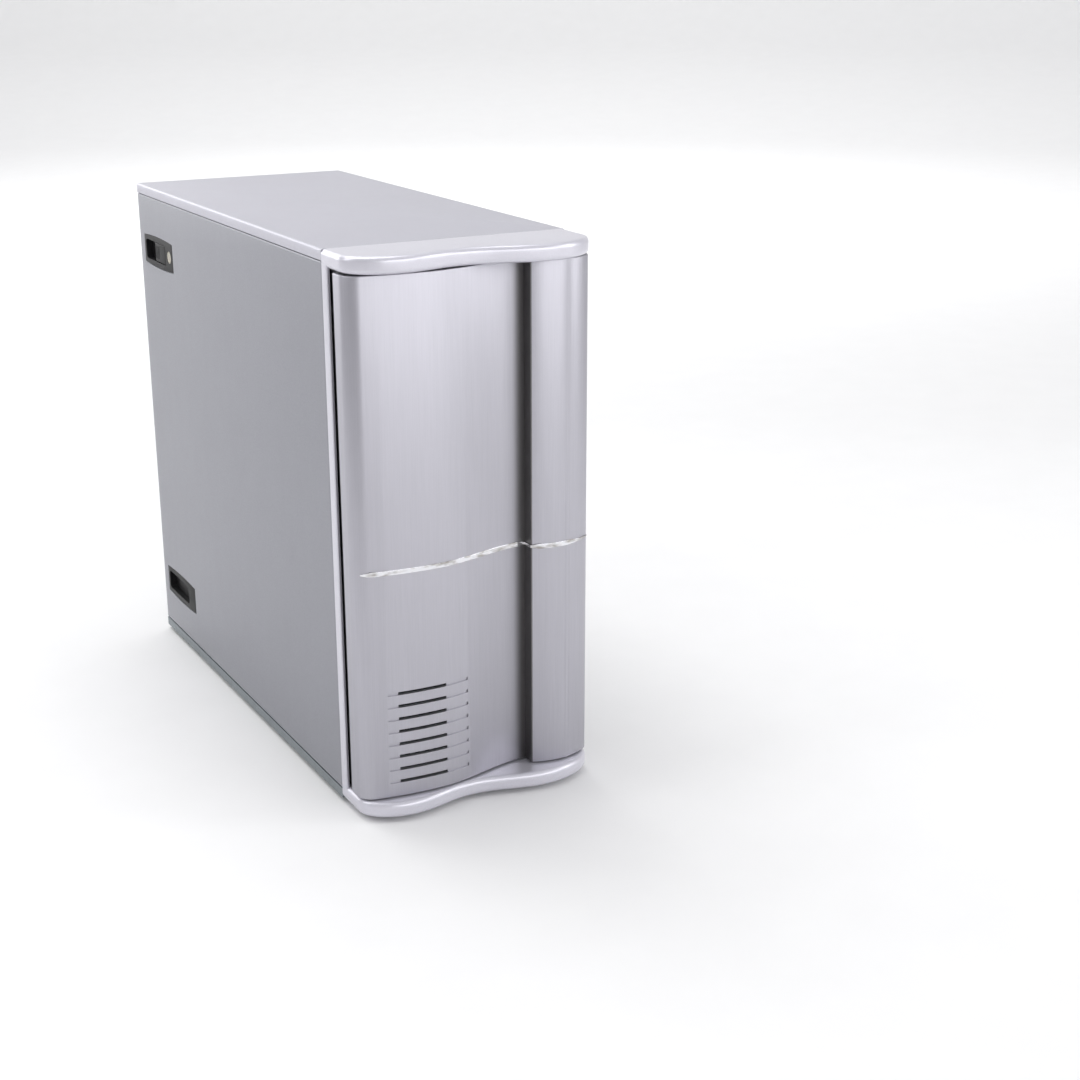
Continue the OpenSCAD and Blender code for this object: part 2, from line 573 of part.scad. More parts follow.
module at_side(y, z, x0, l) { translate([-hw + x0, y, z]) rotate([90, 0, 90]) linear_extrude(l) children(); }
module side_panel() difference() {
    union() {
        block([-hw, y_joint + gap, panel_z0], [-hw + sheet, y_rear, panel_z1]);
        for (z = [panel_z0, panel_z1 - sheet]) block([-hw, y_joint + sheet + gap, z], [-hw + hem, y_in - gap, z + sheet]);
        block([-hw, y_joint + sheet + gap, panel_z0], [-hw + hem, y_joint + 2 * sheet + gap, panel_z1]);
        block([-hw, y_rear - sheet, z0 + rear_flange + gap], [-hw + rear_flange, y_rear, z1 - rear_flange - gap]);
    }
    for (z = [handle_zu, handle_zl]) at_side(handle_y, z, -1, 4) polygon(handle_line(-0.2));
    for (z = panel_screw_z) rod_y(-hw + panel_screw_in, y_rear - 3, z, screw_hole_r, 4);
}
finger_y = handle_y + handle_l / 2 - 4;
module handles() {
    for (z = [handle_zu, handle_zl]) difference() {
        at_side(handle_y, z, 0, handle_d) polygon(handle_line(0));
        // finger hollow, with a slope at its front
        translate([-hw - 1, 0, 0]) if (z == handle_zl)
            block([0, lever_y0, z - lever_h / 2], [handle_d - 0.5, finger_y, z + lever_h / 2]);
        else
            block([0, lever_y0 - play, z - lever_h / 2 - play], [handle_d, finger_y, z + lever_h / 2 + play]);
        if (z == handle_zu) rod_x(-hw - 1, lock_y, z, lock_r + run, handle_d + 2, 48);
    }
    // lever pin
    translate([-hw + 3, lever_y0 + 2.6, handle_zu - lever_h / 2 - play - 1]) cylinder(r = lever_pin_r, h = lever_h + 2 * play + 2, $fn = 24);
}
module latch() difference() {
    union() {
        translate([-hw + 0.3, lever_y0 + 2.6, handle_zu - lever_h / 2]) cube([2.4, lever_l - 16, lever_h]);
        translate([-hw + 3, lever_y0 + 2.6, handle_zu - lever_h / 2]) cylinder(r = 2.5, h = lever_h, $fn = 32);
    }
    translate([-hw + 3, lever_y0 + 2.6, handle_zu - lever_h / 2 - 1]) cylinder(r = lever_pin_r + run, h = lever_h + 2, $fn = 24);
}
module lock() difference() {
    union() {
        rod_x(-hw + 0.2, lock_y, handle_zu, lock_r, handle_d - 0.2, 48);
        block([-hw + handle_d + 0.1, lock_y - 3, handle_zu - 3], [-hw + handle_d + 1.6, lock_y + 3, handle_zu + 11]);
        rod_x(-hw + handle_d - 0.1, lock_y, handle_zu, 3, 1.7);
    }
    block([-hw - 1, lock_y - 0.6, handle_zu - 3], [-hw + 5, lock_y + 0.6, handle_zu + 3]);
}
module panel_screws() for (z = panel_screw_z) rear_screw(-hw + panel_screw_in, z, y_rear, 5);

module left_side_panel() color("#b7b9be") side_panel();
module left_handles() color("#18181a") handles();
module left_latch() color("#222225") latch();
module left_lock() color("#cfc8b0") lock();
module left_panel_screws() color("#c9ccd2") panel_screws();
module right_side_panel() color("#b7b9be") mirror([1, 0, 0]) side_panel();
module right_handles() color("#18181a") mirror([1, 0, 0]) handles();
module right_latch() color("#222225") mirror([1, 0, 0]) latch();
module right_lock() color("#cfc8b0") mirror([1, 0, 0]) lock();
module right_panel_screws() color("#c9ccd2") mirror([1, 0, 0]) panel_screws();

// ---------------------------------------------------------------- fans

fan_bore = fan_w / 2 - 3;
module exhaust_fan_frame() color("#cfd3d8") translate([exhaust_x, exhaust_y, exhaust_z]) mirror([0, 1, 0]) translate([0, -fan_d, 0]) fan_frame(fan_w, fan_d, fan_bore);
module exhaust_fan_rotor() color("#e6e9ee") translate([exhaust_x, exhaust_y, exhaust_z]) mirror([0, 1, 0]) translate([0, -fan_d, 0]) fan_rotor(fan_w, fan_d, fan_bore - rotor_gap);
module intake_fan_frame() color("#2b2c2f") translate([bay_cx, intake_y, intake_z]) fan_frame(fan_w, fan_d, fan_bore);
module intake_fan_rotor() color("#3a3c40") translate([bay_cx, intake_y, intake_z]) fan_rotor(fan_w, fan_d, fan_bore - rotor_gap);

// ---------------------------------------------------------------- power supply

psu_y1 = y_in - 0.2;
psu_y0 = psu_y1 - psu_d;
psu_fan_depth = 22;
module grille_outline(r, c) polygon([[-r, -r + c], [-r + c, -r], [r - c, -r], [r, -r + c], [r, r - c], [r - c, r], [-r + c, r], [-r, r - c]]);
module psu_case() color("#b9bec6") {
    difference() {
        union() {
            // lower sheet: floor, front and rear; upper sheet: top and sides
            difference() {
                block([-psu_w / 2 + psu_sheet + 0.1, psu_y0, psu_cz - psu_h / 2], [psu_w / 2 - psu_sheet - 0.1, psu_y1, psu_cz + psu_h / 2 - psu_sheet - 0.1]);
                block([-psu_w, psu_y0 + psu_sheet, psu_cz - psu_h / 2 + psu_sheet], [psu_w, psu_y1 - psu_sheet, psu_cz + psu_h]);
            }
            difference() {
                block([-psu_w / 2, psu_y0, psu_cz - psu_h / 2], [psu_w / 2, psu_y1, psu_cz + psu_h / 2]);
                block([-psu_w / 2 + psu_sheet, psu_y0 - 1, psu_cz - psu_h], [psu_w / 2 - psu_sheet, psu_y1 + 1, psu_cz + psu_h / 2 - psu_sheet]);
            }
        }
        translate([psu_fan_x, psu_y1 + 1, psu_cz]) rotate([90, 0, 0]) linear_extrude(4) grille_outline(psu_fan + 1.5, 22);
        rear_holes(psu_screws, screw_hole_r, psu_y1 - 3, 4);
        plate(inlet_x - inlet_w / 2, inlet_x + inlet_w / 2, psu_y1 - 3, inlet_z - inlet_h / 2, inlet_z + inlet_h / 2, 4);
        plate(inlet_x - 9, inlet_x + 9, psu_y1 - 3, switch_z - 5, switch_z + 5, 4);
        for (k = [-6 : 6]) plate(k * 10 - 2.5, k * 10 + 2.5, psu_y0 - 1, psu_cz - 30, psu_cz + 12, 4);
        rod_y(60, psu_y0 - 1, psu_cz - 36, 8, 4, 32);
    }
    // stamped finger guard: hub, two rings and spokes
    translate([psu_fan_x, psu_y1 - psu_sheet, psu_cz]) {
        rod_y(0, 0, 0, 18, psu_sheet, 48);
        for (r = [28.5, psu_fan]) difference() {
            rod_y(0, 0, 0, r + 1.5, psu_sheet, 64);
            rod_y(0, -1, 0, r - 1.5, psu_sheet + 2, 64);
        }
        for (a = [22.5 : 45 : 340]) rotate([0, a, 0]) translate([17, 0, -1.2]) cube([psu_fan - 17, psu_sheet, 2.4]);
        rod_y(0, -16, 0, fan_pin_r, 17);
    }
}
module psu_fan_rotor() color("#1f2023") translate([psu_fan_x, psu_y1 - psu_sheet - psu_fan_depth - 2, psu_cz])
    fan_rotor(psu_fan * 2, psu_fan_depth, psu_fan - 2, 7);
module power_inlet() color("#151517") difference() {
    union() {
        plate(inlet_x - inlet_w / 2, inlet_x + inlet_w / 2, psu_y1 - psu_sheet - 16, inlet_z - inlet_h / 2, inlet_z + inlet_h / 2, 17.8);
        plate(inlet_x - inlet_w / 2 - 1, inlet_x + inlet_w / 2 + 1, psu_y1, inlet_z - inlet_h / 2 - 1, inlet_z + inlet_h / 2 + 1, 1.4);
    }
    difference() {
        translate([inlet_x, psu_y1 + 3, inlet_z]) rotate([90, 0, 0]) linear_extrude(17)
            polygon([[-12.5, -8.5], [12.5, -8.5], [12.5, 4], [8, 8.5], [-8, 8.5], [-12.5, 4]]);
        for (p = [[-7, -1], [0, 3], [7, -1]]) plate(inlet_x + p[0] - 1, inlet_x + p[0] + 1, psu_y1 - 20, inlet_z + p[1] - 2, inlet_z + p[1] + 2, 18);
    }
}
module voltage_switch() color("#b32024") difference() {
    plate(inlet_x - 9, inlet_x + 9, psu_y1 - psu_sheet - 9, switch_z - 5, switch_z + 5, 10.2);
    plate(inlet_x - 6.5, inlet_x + 6.5, psu_y1 - 3, switch_z - 2.5, switch_z + 2.5, 4);
}
module voltage_slider() color("#d8353a") plate(inlet_x - 6, inlet_x, psu_y1 - 2.7, switch_z - 2.1, switch_z + 2.1, 2.5);
// A bundle of leads from the power supply down to the board and the drives
module psu_cables() color("#d7b93a") {
    translate([60, psu_y0 - 14, psu_cz - 36]) rotate([-90, 0, 0]) cylinder(r = 6.5, h = 14 + psu_sheet, $fn = 32);
    translate([60, psu_y0 - 14, psu_cz - 36]) sphere(r = 6.5, $fn = 32);
    translate([60, psu_y0 - 14, board_z0 + 190]) cylinder(r = 6.5, h = psu_cz - 36 - board_z0 - 190, $fn = 32);
    translate([60, psu_y0 - 14, board_z0 + 190]) sphere(r = 6.5, $fn = 32);
    rod_x(board_x + 12, psu_y0 - 14, board_z0 + 190, 6.5, 60 - board_x - 12, 32);
    block([board_x + 0.2, psu_y0 - 40, board_z0 + 184], [board_x + 14, psu_y0 + 12, board_z0 + 196]);
}

// ---------------------------------------------------------------- board and connectors

module motherboard() color("#2f6b4a") {
    block([board_x - board_t, y_in - board_d - 2, board_z0], [board_x, y_in - 2, board_z0 + board_h]);
    block([board_x - eps, y_in - 130, board_z0 + 120], [board_x + 8, y_in - 100, board_z0 + 150]);
    for (k = [0 : 5]) translate([board_x - eps, y_in - 30 - k * 12, board_z0 + 262]) rotate([0, 90, 0]) cylinder(r = 4.5, h = 16, $fn = 24);
}
module expansion_sockets() color("#e7e4d6") for (k = [0 : slot_n - 2])
    block([board_x, y_in - 150, slot_z0 + k * slot_pitch - 4.2], [board_x + 11, y_in - 62, slot_z0 + k * slot_pitch + 4.2]);
module memory_modules() color("#2b5c3c") for (k = [0, 1])
    block([board_x, y_in - 208 - k * 12, board_z0 + 140], [board_x + 31, y_in - 204.5 - k * 12, board_z0 + 273]);

io_y = y_in - 12;            // front of the connector bodies on the board
port_x = io_cx - 4;
ps2_z = io_cz + io_h / 2 - 22;
module ps2_ports() color("#3a9b73") for (k = [0, 1]) difference() {
    translate([k == 0 ? port_x + 8.5 : port_x - 6, 0, 0]) union() {
        rod_y(0, io_y, ps2_z, 6.6, y_in - io_y + 3, 32);
        block([-6.8, io_y - 4, ps2_z - 6.8], [6.8, io_y + 6, ps2_z + 6.8]);
    }
    translate([k == 0 ? port_x + 8.5 : port_x - 6, 0, 0]) rod_y(0, y_in - 4, ps2_z, 4.4, 9, 32);
}
// A D-shaped shell that tapers towards -X
module d_shell(x, z, l, y, t, w = 8.4) translate([x, y + t, z]) rotate([90, 0, 0]) linear_extrude(t)
    polygon([[w / 2, -l / 2 + 1], [w / 2 - 1, -l / 2], [-w / 2, -l / 2 + 2], [-w / 2, l / 2 - 2], [w / 2 - 1, l / 2], [w / 2, l / 2 - 1]]);
module d_port(x, z, l) difference() {
    union() {
        block([x - 6.2, io_y, z - l / 2 - 5], [x + 6.2, y_in - 1.4, z + l / 2 + 5]);
        d_shell(x, z, l, y_in - 2, 8);
        for (s = [-1, 1]) translate([x, y_in - 2, z + s * (l / 2 + 3.6)]) rotate([-90, 0, 0]) cylinder(r = 2.6, h = 7, $fn = 6);
    }
    d_shell(x, z, l - 1.6, y_in + 1, 6, 6.8);
}
parallel_z = io_cz + 15;
module parallel_port() color("#b3268f") d_port(port_x + 11.5, parallel_z, 38.5);
module serial_port() color("#178f98") d_port(port_x - 7, parallel_z + 17, 16.6);
module video_port() color("#2b4fc0") d_port(port_x - 7, parallel_z - 15, 16.6);
module usb_block(x, z, w, h, slots) difference() {
    block([x - w / 2, io_y, z - h / 2], [x + w / 2, y_in + 2.5, z + h / 2]);
    for (s = slots) block([x + s - 2.6, y_in - 8, z - 6.2], [x + s + 2.6, y_in + 4, z + 6.2]);
}
usb_z = io_cz - 24;
module usb_network_ports() color("#c9ccd2") {
    usb_block(port_x - 7.5, usb_z, 16, 14.5, [-3.8, 3.8]);
    usb_block(port_x - 7.5, usb_z - 18, 16, 14.5, [-3.8, 3.8]);
    difference() {
        block([port_x + 3.5, io_y, usb_z - 26], [port_x + 17.5, y_in + 2.5, usb_z - 10]);
        block([port_x + 6, y_in - 9, usb_z - 24], [port_x + 14.5, y_in + 4, usb_z - 12]);
    }
}
audio_z = usb_z - 39;
module audio_jacks() color("#7fb2dc") for (k = [0 : 2]) difference() {
    union() {
        rod_y(port_x - 9 + k * 11.4, io_y, audio_z, 4, y_in - io_y + 2.5, 32);
        block([port_x - 14 + k * 11.4, io_y - 6, audio_z - 6], [port_x - 4 + k * 11.4, io_y + 5, audio_z + 6]);
    }
    rod_y(port_x - 9 + k * 11.4, y_in - 9, audio_z, 1.85, 14, 24);
}
shield_t = 0.5;
module io_shield() color("#cfd2d6") difference() {
    union() {
        plate(io_cx - io_w / 2 - 2, io_cx + io_w / 2 + 2, y_in - shield_t - 0.1, io_cz - io_h / 2 - 2, io_cz + io_h / 2 + 2, shield_t);
        difference() {
            plate(io_cx - io_w / 2 + 0.2, io_cx + io_w / 2 - 0.2, y_in - shield_t - 0.1, io_cz - io_h / 2 + 0.2, io_cz + io_h / 2 - 0.2, shield_t + 0.9);
            plate(io_cx - io_w / 2 + 1, io_cx + io_w / 2 - 1, y_in - 0.2, io_cz - io_h / 2 + 1, io_cz + io_h / 2 - 1, 3);
        }
    }
    for (k = [0, 1]) rod_y(k == 0 ? port_x + 8.5 : port_x - 6, y_in - 3, ps2_z, 7, 6, 32);
    for (p = [[port_x + 11.5, parallel_z, 38.5], [port_x - 7, parallel_z + 17, 16.6], [port_x - 7, parallel_z - 15, 16.6]])
        block([p[0] - 5, y_in - 3, p[1] - p[2] / 2 - 6.6], [p[0] + 5, y_in + 3, p[1] + p[2] / 2 + 6.6]);
    for (z = [usb_z, usb_z - 18]) block([port_x - 15.8, y_in - 3, z - 7.5], [port_x + 0.8, y_in + 3, z + 7.5]);
    block([port_x + 3.2, y_in - 3, usb_z - 26.3], [port_x + 17.8, y_in + 3, usb_z - 9.7]);
    for (k = [0 : 2]) rod_y(port_x - 9 + k * 11.4, y_in - 3, audio_z, 4.3, 6, 32);
}
module slot_covers() color("#c4c8cc") for (k = [0 : slot_n - 1]) {
    z = slot_z0 + k * slot_pitch;
    plate(slot_x0 + 1, slot_x1 + 1, y_in - 1.1, z - cover_w / 2, z + cover_w / 2, 1);
    plate(slot_x0 + 10, slot_x1 - 6, y_in - 0.3, z - 4.5, z - 2.5, 1.2);
    plate(slot_x0 + 10, slot_x1 - 6, y_in - 0.3, z + 2.5, z + 4.5, 1.2);
}
fin_n = 15;
module cpu_heatsink() color("#c3c7cc") translate([board_x, cpu_y, cpu_z]) {
    block([0, -cpu_sink / 2, -cpu_sink / 2], [8, cpu_sink / 2, cpu_sink / 2]);
    for (k = [0 : fin_n - 1]) let (y = -cpu_sink / 2 + k * (cpu_sink - 1.2) / (fin_n - 1))
        block([7, y, -cpu_sink / 2], [40, y + 1.2, cpu_sink / 2]);
}
cpu_fan_d = 20;
module cpu_at() { translate([board_x + 40.2 + cpu_fan_d, cpu_y, cpu_z]) rotate([0, 0, 90]) children(); }
module cpu_fan_frame() color("#232427") cpu_at() fan_frame(cpu_sink, cpu_fan_d, cpu_sink / 2 - 2);
module cpu_fan_rotor() color("#2e3035") cpu_at() fan_rotor(cpu_sink, cpu_fan_d, cpu_sink / 2 - 3.5);

// ---------------------------------------------------------------- fasteners on the rear

module screws() color("#c9ccd2") {
    for (p = flange_screws) rear_screw(p[0], p[1], y_rear, 5);
    for (p = concat(psu_screws, fan_screws)) rear_screw(p[0], p[1], y_back, 5);
    for (x = [-1, 1]) {
        rear_screw(inlet_x + x * 26, inlet_z, psu_y1, 0);
        rear_screw(inlet_x + x * 22, switch_z, psu_y1, 0);
    }
}
module rivets() color("#9aa3ad") for (p = rivet_list) {
    rod_y(p[0], y_back, p[1], 3, 1);
    rod_y(p[0], y_in - 1, p[1], screw_hole_r, 2.2);
}
module padlock_loop() color("#aeb6bf") {
    x = hw - 26;
    z = z0 + 166;
    difference() {
        union() {
            block([x - 1, y_back, z - 9], [x + 1, y_back + sheet + loop_out, z + 9]);
            block([x - 9, y_back, z - 9], [x - 1 + eps, y_back + 1.2, z + 9]);
        }
        rod_x(x - 2, y_back + 6, z, 3.5, 4, 32);
    }
}

chassis_base();
rear_panel();
motherboard_tray();
top_cover();
front_panel();
drive_cage();
feet();
bezel_shell();
bezel_inner();
intake_grille();
bay_covers();
optical_drive();
disc_tray();
hard_drive();
intake_fan_frame();
exhaust_fan_frame();
psu_case();
power_inlet();
voltage_switch();
psu_cables();
motherboard();
expansion_sockets();
memory_modules();
ps2_ports();
parallel_port();
serial_port();
video_port();
usb_network_ports();
audio_jacks();
io_shield();
cpu_heatsink();
cpu_fan_frame();
slot_covers();
screws();
rivets();
padlock_loop();
front_ports();
status_lights();
hinge_pins();
power_button();
reset_button();
eject_button();
door_skin();
door_frame();
door_strip();
left_side_panel();
left_handles();
left_latch();
left_lock();
left_panel_screws();
right_side_panel();
right_handles();
right_latch();
right_lock();
right_panel_screws();
exhaust_fan_rotor();
intake_fan_rotor();
psu_fan_rotor();
cpu_fan_rotor();
voltage_slider();
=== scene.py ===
"""A desktop computer tower: silver covers, a waved bezel with a brushed door, a zinc-plated rear."""
import math
from contextlib import contextmanager
import bmesh
import bpy
from mathutils import Matrix, Vector


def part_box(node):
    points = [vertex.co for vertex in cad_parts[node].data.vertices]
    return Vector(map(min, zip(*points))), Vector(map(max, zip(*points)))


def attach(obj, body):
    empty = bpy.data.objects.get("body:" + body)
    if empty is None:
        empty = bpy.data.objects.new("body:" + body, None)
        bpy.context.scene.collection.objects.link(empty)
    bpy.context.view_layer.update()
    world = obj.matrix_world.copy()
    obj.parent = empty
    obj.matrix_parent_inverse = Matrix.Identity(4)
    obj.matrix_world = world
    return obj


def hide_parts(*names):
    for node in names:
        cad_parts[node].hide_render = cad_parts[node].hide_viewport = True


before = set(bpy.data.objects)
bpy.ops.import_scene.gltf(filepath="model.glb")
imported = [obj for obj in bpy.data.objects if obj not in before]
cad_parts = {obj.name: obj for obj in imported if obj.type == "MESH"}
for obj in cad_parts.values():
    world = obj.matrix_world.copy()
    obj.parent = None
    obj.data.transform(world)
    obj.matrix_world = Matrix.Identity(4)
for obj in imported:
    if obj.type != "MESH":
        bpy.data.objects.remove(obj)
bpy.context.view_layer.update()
mm = 0.001

# ------------------------------------------------------------------ Studio
# A pale sweep of paper under soft lamps, and a camera that stands in front of the tower's left
# corner, a little above it.
case_low, case_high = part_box("chassis_base")
half = case_high.x
joint = case_low.y
back = case_high.y
floor_w = 5.0


def fresh():
    """Nothing selected, and object mode."""
    bpy.ops.object.select_all(action="DESELECT")


def soft_lamp(name, at, towards, size, watts):
    """A square studio lamp, aimed at a point."""
    lamp = bpy.data.lights.new(name, "AREA")
    lamp.shape = "RECTANGLE"
    lamp.size, lamp.size_y = size
    lamp.energy = watts
    stand = bpy.data.objects.new(name, lamp)
    stand.visible_camera = False
    bpy.context.scene.collection.objects.link(stand)
    aim = Vector(towards) - Vector(at)
    stand.matrix_world = Matrix.Translation(at) @ aim.to_track_quat("-Z", "Y").to_matrix().to_4x4()
    return stand


fresh()
bpy.ops.mesh.primitive_circle_add(vertices=96, radius=floor_w, fill_type="NGON", location=(0, 0, 0))
floor = bpy.context.object
floor.name = "paper_floor"
bpy.ops.object.mode_set(mode="EDIT")
bpy.ops.mesh.select_mode(type="EDGE")
bpy.ops.mesh.select_all(action="SELECT")
bpy.ops.mesh.region_to_loop()
for out, up in ((1.5, 0.25), (1.2, 0.8), (0.6, 1.5), (0.1, 6.0)):
    bpy.ops.mesh.extrude_edges_move(TRANSFORM_OT_translate={"value": (0, 0, up)})
    wide = (floor_w + out) / floor_w
    bpy.ops.transform.resize(value=(wide, wide, 1))
    floor_w += out
bpy.ops.object.mode_set(mode="OBJECT")
bpy.ops.object.shade_smooth()

soft_lamp("top_lamp", (-0.1, 0.5, 2.2), (0, -0.05, 0.4), (1.4, 1.4), 20)
soft_lamp("left_lamp", (-1.5, 0.1, 1.5), (-0.1, 0.0, 0.4), (0.5, 1.4), 7)
soft_lamp("side_lamp", (-1.6, 3.2, 0.85), (-0.1, 0.0, 0.4), (2.4, 1.1), 20)
soft_lamp("front_lamp", (0.9, -3.4, 1.1), (0, -0.2, 0.4), (3.6, 1.6), 38)
soft_lamp("right_lamp", (1.75, -1.25, 1.0), (0.05, -0.2, 0.3), (0.6, 1.4), 9)
soft_lamp("rear_lamp", (-0.5, 2.6, 1.6), (0, 0, 0.25), (2.0, 1.4), 12)
soft_lamp("backdrop_lamp", (1.4, 2.4, 2.8), (3.4, 5.6, 0.4), (2.5, 2.5), 85)

world = bpy.data.worlds.new("white_room")
bpy.context.scene.world = world
world.use_nodes = True
sky = world.node_tree.nodes
direction = sky.new("ShaderNodeTexCoord")
height = sky.new("ShaderNodeSeparateXYZ")
ramp = sky.new("ShaderNodeValToRGB")
world.node_tree.links.new(direction.outputs["Generated"], height.inputs[0])
world.node_tree.links.new(height.outputs["Z"], ramp.inputs[0])
world.node_tree.links.new(ramp.outputs[0], sky["Background"].inputs["Color"])
ramp.color_ramp.elements[0].position = 0.05
ramp.color_ramp.elements[0].color = (0.24, 0.245, 0.27, 1)
ramp.color_ramp.elements[1].position = 0.75
ramp.color_ramp.elements[1].color = (0.98, 0.98, 1.0, 1)
sky["Background"].inputs["Strength"].default_value = 0.75
bpy.context.scene.view_settings.view_transform = "Standard"

camera_data = bpy.data.cameras.new("camera")
camera_data.lens = 58.77
camera_data.sensor_width = 36
camera = bpy.data.objects.new("camera", camera_data)
bpy.context.scene.collection.objects.link(camera)
turn, rise, roll = math.radians(-29.27), math.radians(18.45), math.radians(-0.07)
camera_at = Vector((-0.5827, joint - 1.1807, 0.642))
camera.matrix_world = (Matrix.Translation(camera_at) @ Matrix.Rotation(turn, 4, "Z")
                       @ Matrix.Rotation(math.pi / 2 - rise, 4, "X") @ Matrix.Rotation(roll, 4, "Z"))
bpy.context.scene.camera = camera


# ------------------------------------------------------------------ Bezel
# One moulding of silver-lacquered plastic: a waved lip above and below the door, joined at each
# side by a narrow wall. The lips' edges are rounded all round.
class Wire:
    """A shader socket that takes part in ordinary sums."""

    def __init__(self, paint, socket):
        self.paint, self.socket = paint, socket

    def sum_with(self, operation, a, b):
        return self.paint.node("ShaderNodeMath", {0: a, 1: b}, operation=operation)

    def __add__(self, other):
        return self.sum_with("ADD", self, other)

    def __sub__(self, other):
        return self.sum_with("SUBTRACT", self, other)

    def __mul__(self, other):
        return self.sum_with("MULTIPLY", self, other)

    def __gt__(self, other):
        return self.sum_with("GREATER_THAN", self, other)

    def __lt__(self, other):
        return self.sum_with("LESS_THAN", self, other)

    __radd__ = __add__
    __rmul__ = __mul__


class Paint:
    """A material of one Principled shader, built up by expressions."""

    def __init__(self, name, **fixed):
        self.material = bpy.data.materials.new(name)
        self.material.use_nodes = True
        self.tree = self.material.node_tree
        self.shader = self.tree.nodes["Principled BSDF"]
        self.put(**fixed)

    def put(self, **values):
        """Sets or links the shader's sockets: coat_weight=0.3 goes to Coat Weight."""
        titles = {"ior": "IOR", "specular_ior_level": "Specular IOR Level"}
        for key, value in values.items():
            title = titles.get(key, key.replace("_", " ").title())
            self.join(self.shader.inputs[title], value)
        return self

    def join(self, socket, value):
        if isinstance(value, Wire):
            self.tree.links.new(value.socket, socket)
        elif isinstance(value, tuple) and len(value) == 3 and socket.type == "RGBA":
            socket.default_value = (*value, 1)
        else:
            socket.default_value = value

    def node(self, kind, sockets=(), out=0, stops=(), **settings):
        """Any other node: its settings, a ramp's stops, then its sockets."""
        made = self.tree.nodes.new(kind)
        for key, value in settings.items():
            setattr(made, key, value)
        for k, (place, shade) in enumerate(stops):
            ramp = made.color_ramp.elements
            step = ramp[k] if k < 2 else ramp.new(place)
            step.position = place
            step.color = (*shade, 1)
        for key, value in dict(sockets).items():
            self.join(made.inputs[key], value)
        return Wire(self, made.outputs[out])

    def place(self, stretch=(1, 1, 1)):
        """Object coordinates in metres, stretched."""
        at = self.node("ShaderNodeTexCoord", out="Object")
        return self.node("ShaderNodeVectorMath", {0: at, 1: stretch}, operation="MULTIPLY")

    def across(self, axis):
        """One object coordinate, in metres: 0 is X, 1 is Y and 2 is Z."""
        return self.node("ShaderNodeSeparateXYZ", {0: self.place()}, out=axis)

    def noise(self, size, stretch=(1, 1, 1), detail=2.0, rough=0.5):
        """Noise from 0 to 1 whose grains are about that many metres across."""
        sockets = {"Vector": self.place(stretch), "Scale": 1 / size, "Detail": detail, "Roughness": rough}
        return self.node("ShaderNodeTexNoise", sockets)

    def blend(self, share, a, b):
        """One colour turning into another."""
        return self.node("ShaderNodeMix", {"Factor": share, 6: a, 7: b}, out=2, data_type="RGBA")

    def bump(self, height, depth, strength=1.0):
        """Height from 0 to 1 made into a bump that many metres deep."""
        return self.node("ShaderNodeBump", {"Height": height, "Distance": depth, "Strength": strength})

    def on(self, *things):
        for thing in things:
            thing.data.materials.clear()
            thing.data.materials.append(self.material)
        return self


def shade(colour, by):
    """The colour made lighter or darker."""
    return tuple(min(1.0, c * by) for c in colour)


def lacquer(name, colour, metal, rough, grain=0.55 * mm, depth=0.03 * mm, coat=0.2):
    """Silver paint: fine flake grain, soft cloudiness and faint handling marks."""
    p = Paint(name, metallic=metal, coat_weight=coat, coat_roughness=0.25)
    flake = p.noise(grain, detail=3)
    cloud = p.noise(90 * mm, detail=2)
    rub = p.noise(14 * mm, (1, 1, 0.4), detail=4)
    tone = p.blend(cloud, shade(colour, 0.965), shade(colour, 1.03))
    p.put(base_color=p.blend((flake - 0.3) * 1.6, tone, shade(colour, 0.74)))
    p.put(roughness=rough - 0.03 + rub * 0.05 + flake * 0.03)
    p.put(normal=p.bump(flake, depth, 0.6))
    return p


@contextmanager
def editing(thing, mode="FACE"):
    """Edit mode on one object, with nothing selected at first."""
    fresh()
    bpy.context.view_layer.objects.active = thing
    thing.select_set(True)
    bpy.ops.object.mode_set(mode="EDIT")
    bpy.ops.mesh.select_mode(type=mode)
    bpy.ops.mesh.select_all(action="DESELECT")
    yield bmesh.from_edit_mesh(thing.data)
    bpy.ops.object.mode_set(mode="OBJECT")


def both(test):
    """A test on an edge that asks the same of both its ends."""
    return lambda edge: all(test(v.co) for v in edge.verts)


def along(edge, axis):
    """How far an edge runs along an axis."""
    return abs(edge.verts[0].co[axis] - edge.verts[1].co[axis])


def rounded(thing, test, offset, segments, **more):
    """Rounds the edges that pass the test."""
    with editing(thing, "EDGE") as mesh:
        for edge in mesh.edges:
            if test(edge):
                edge.select = True
        mesh.select_flush_mode()
        bmesh.update_edit_mesh(thing.data)
        bpy.ops.mesh.bevel(offset=offset, segments=segments, affect="EDGES", **more)
    return thing


def modify(thing, kind, **settings):
    """Adds a modifier and applies it."""
    fresh()
    bpy.context.view_layer.objects.active = thing
    thing.select_set(True)
    modifier = thing.modifiers.new(kind.lower(), kind)
    for key, value in settings.items():
        setattr(modifier, key, value)
    bpy.ops.object.modifier_apply(modifier=modifier.name)
    return thing


def outline_block(name, points, z_low, z_high):
    """A block of the plan outline given, from one height to another."""
    fresh()
    bpy.ops.mesh.primitive_circle_add(vertices=len(points), radius=1, fill_type="NGON")
    block = bpy.context.object
    block.name = name
    for vertex, (x, y) in zip(block.data.vertices, points):
        vertex.co = (x, y, z_low)
    with editing(block):
        bpy.ops.mesh.select_all(action="SELECT")
        bpy.ops.mesh.extrude_region_move(TRANSFORM_OT_translate={"value": (0, 0, z_high - z_low)})
        bpy.ops.mesh.select_all(action="SELECT")
        bpy.ops.mesh.normals_make_consistent(inside=False)
    return block


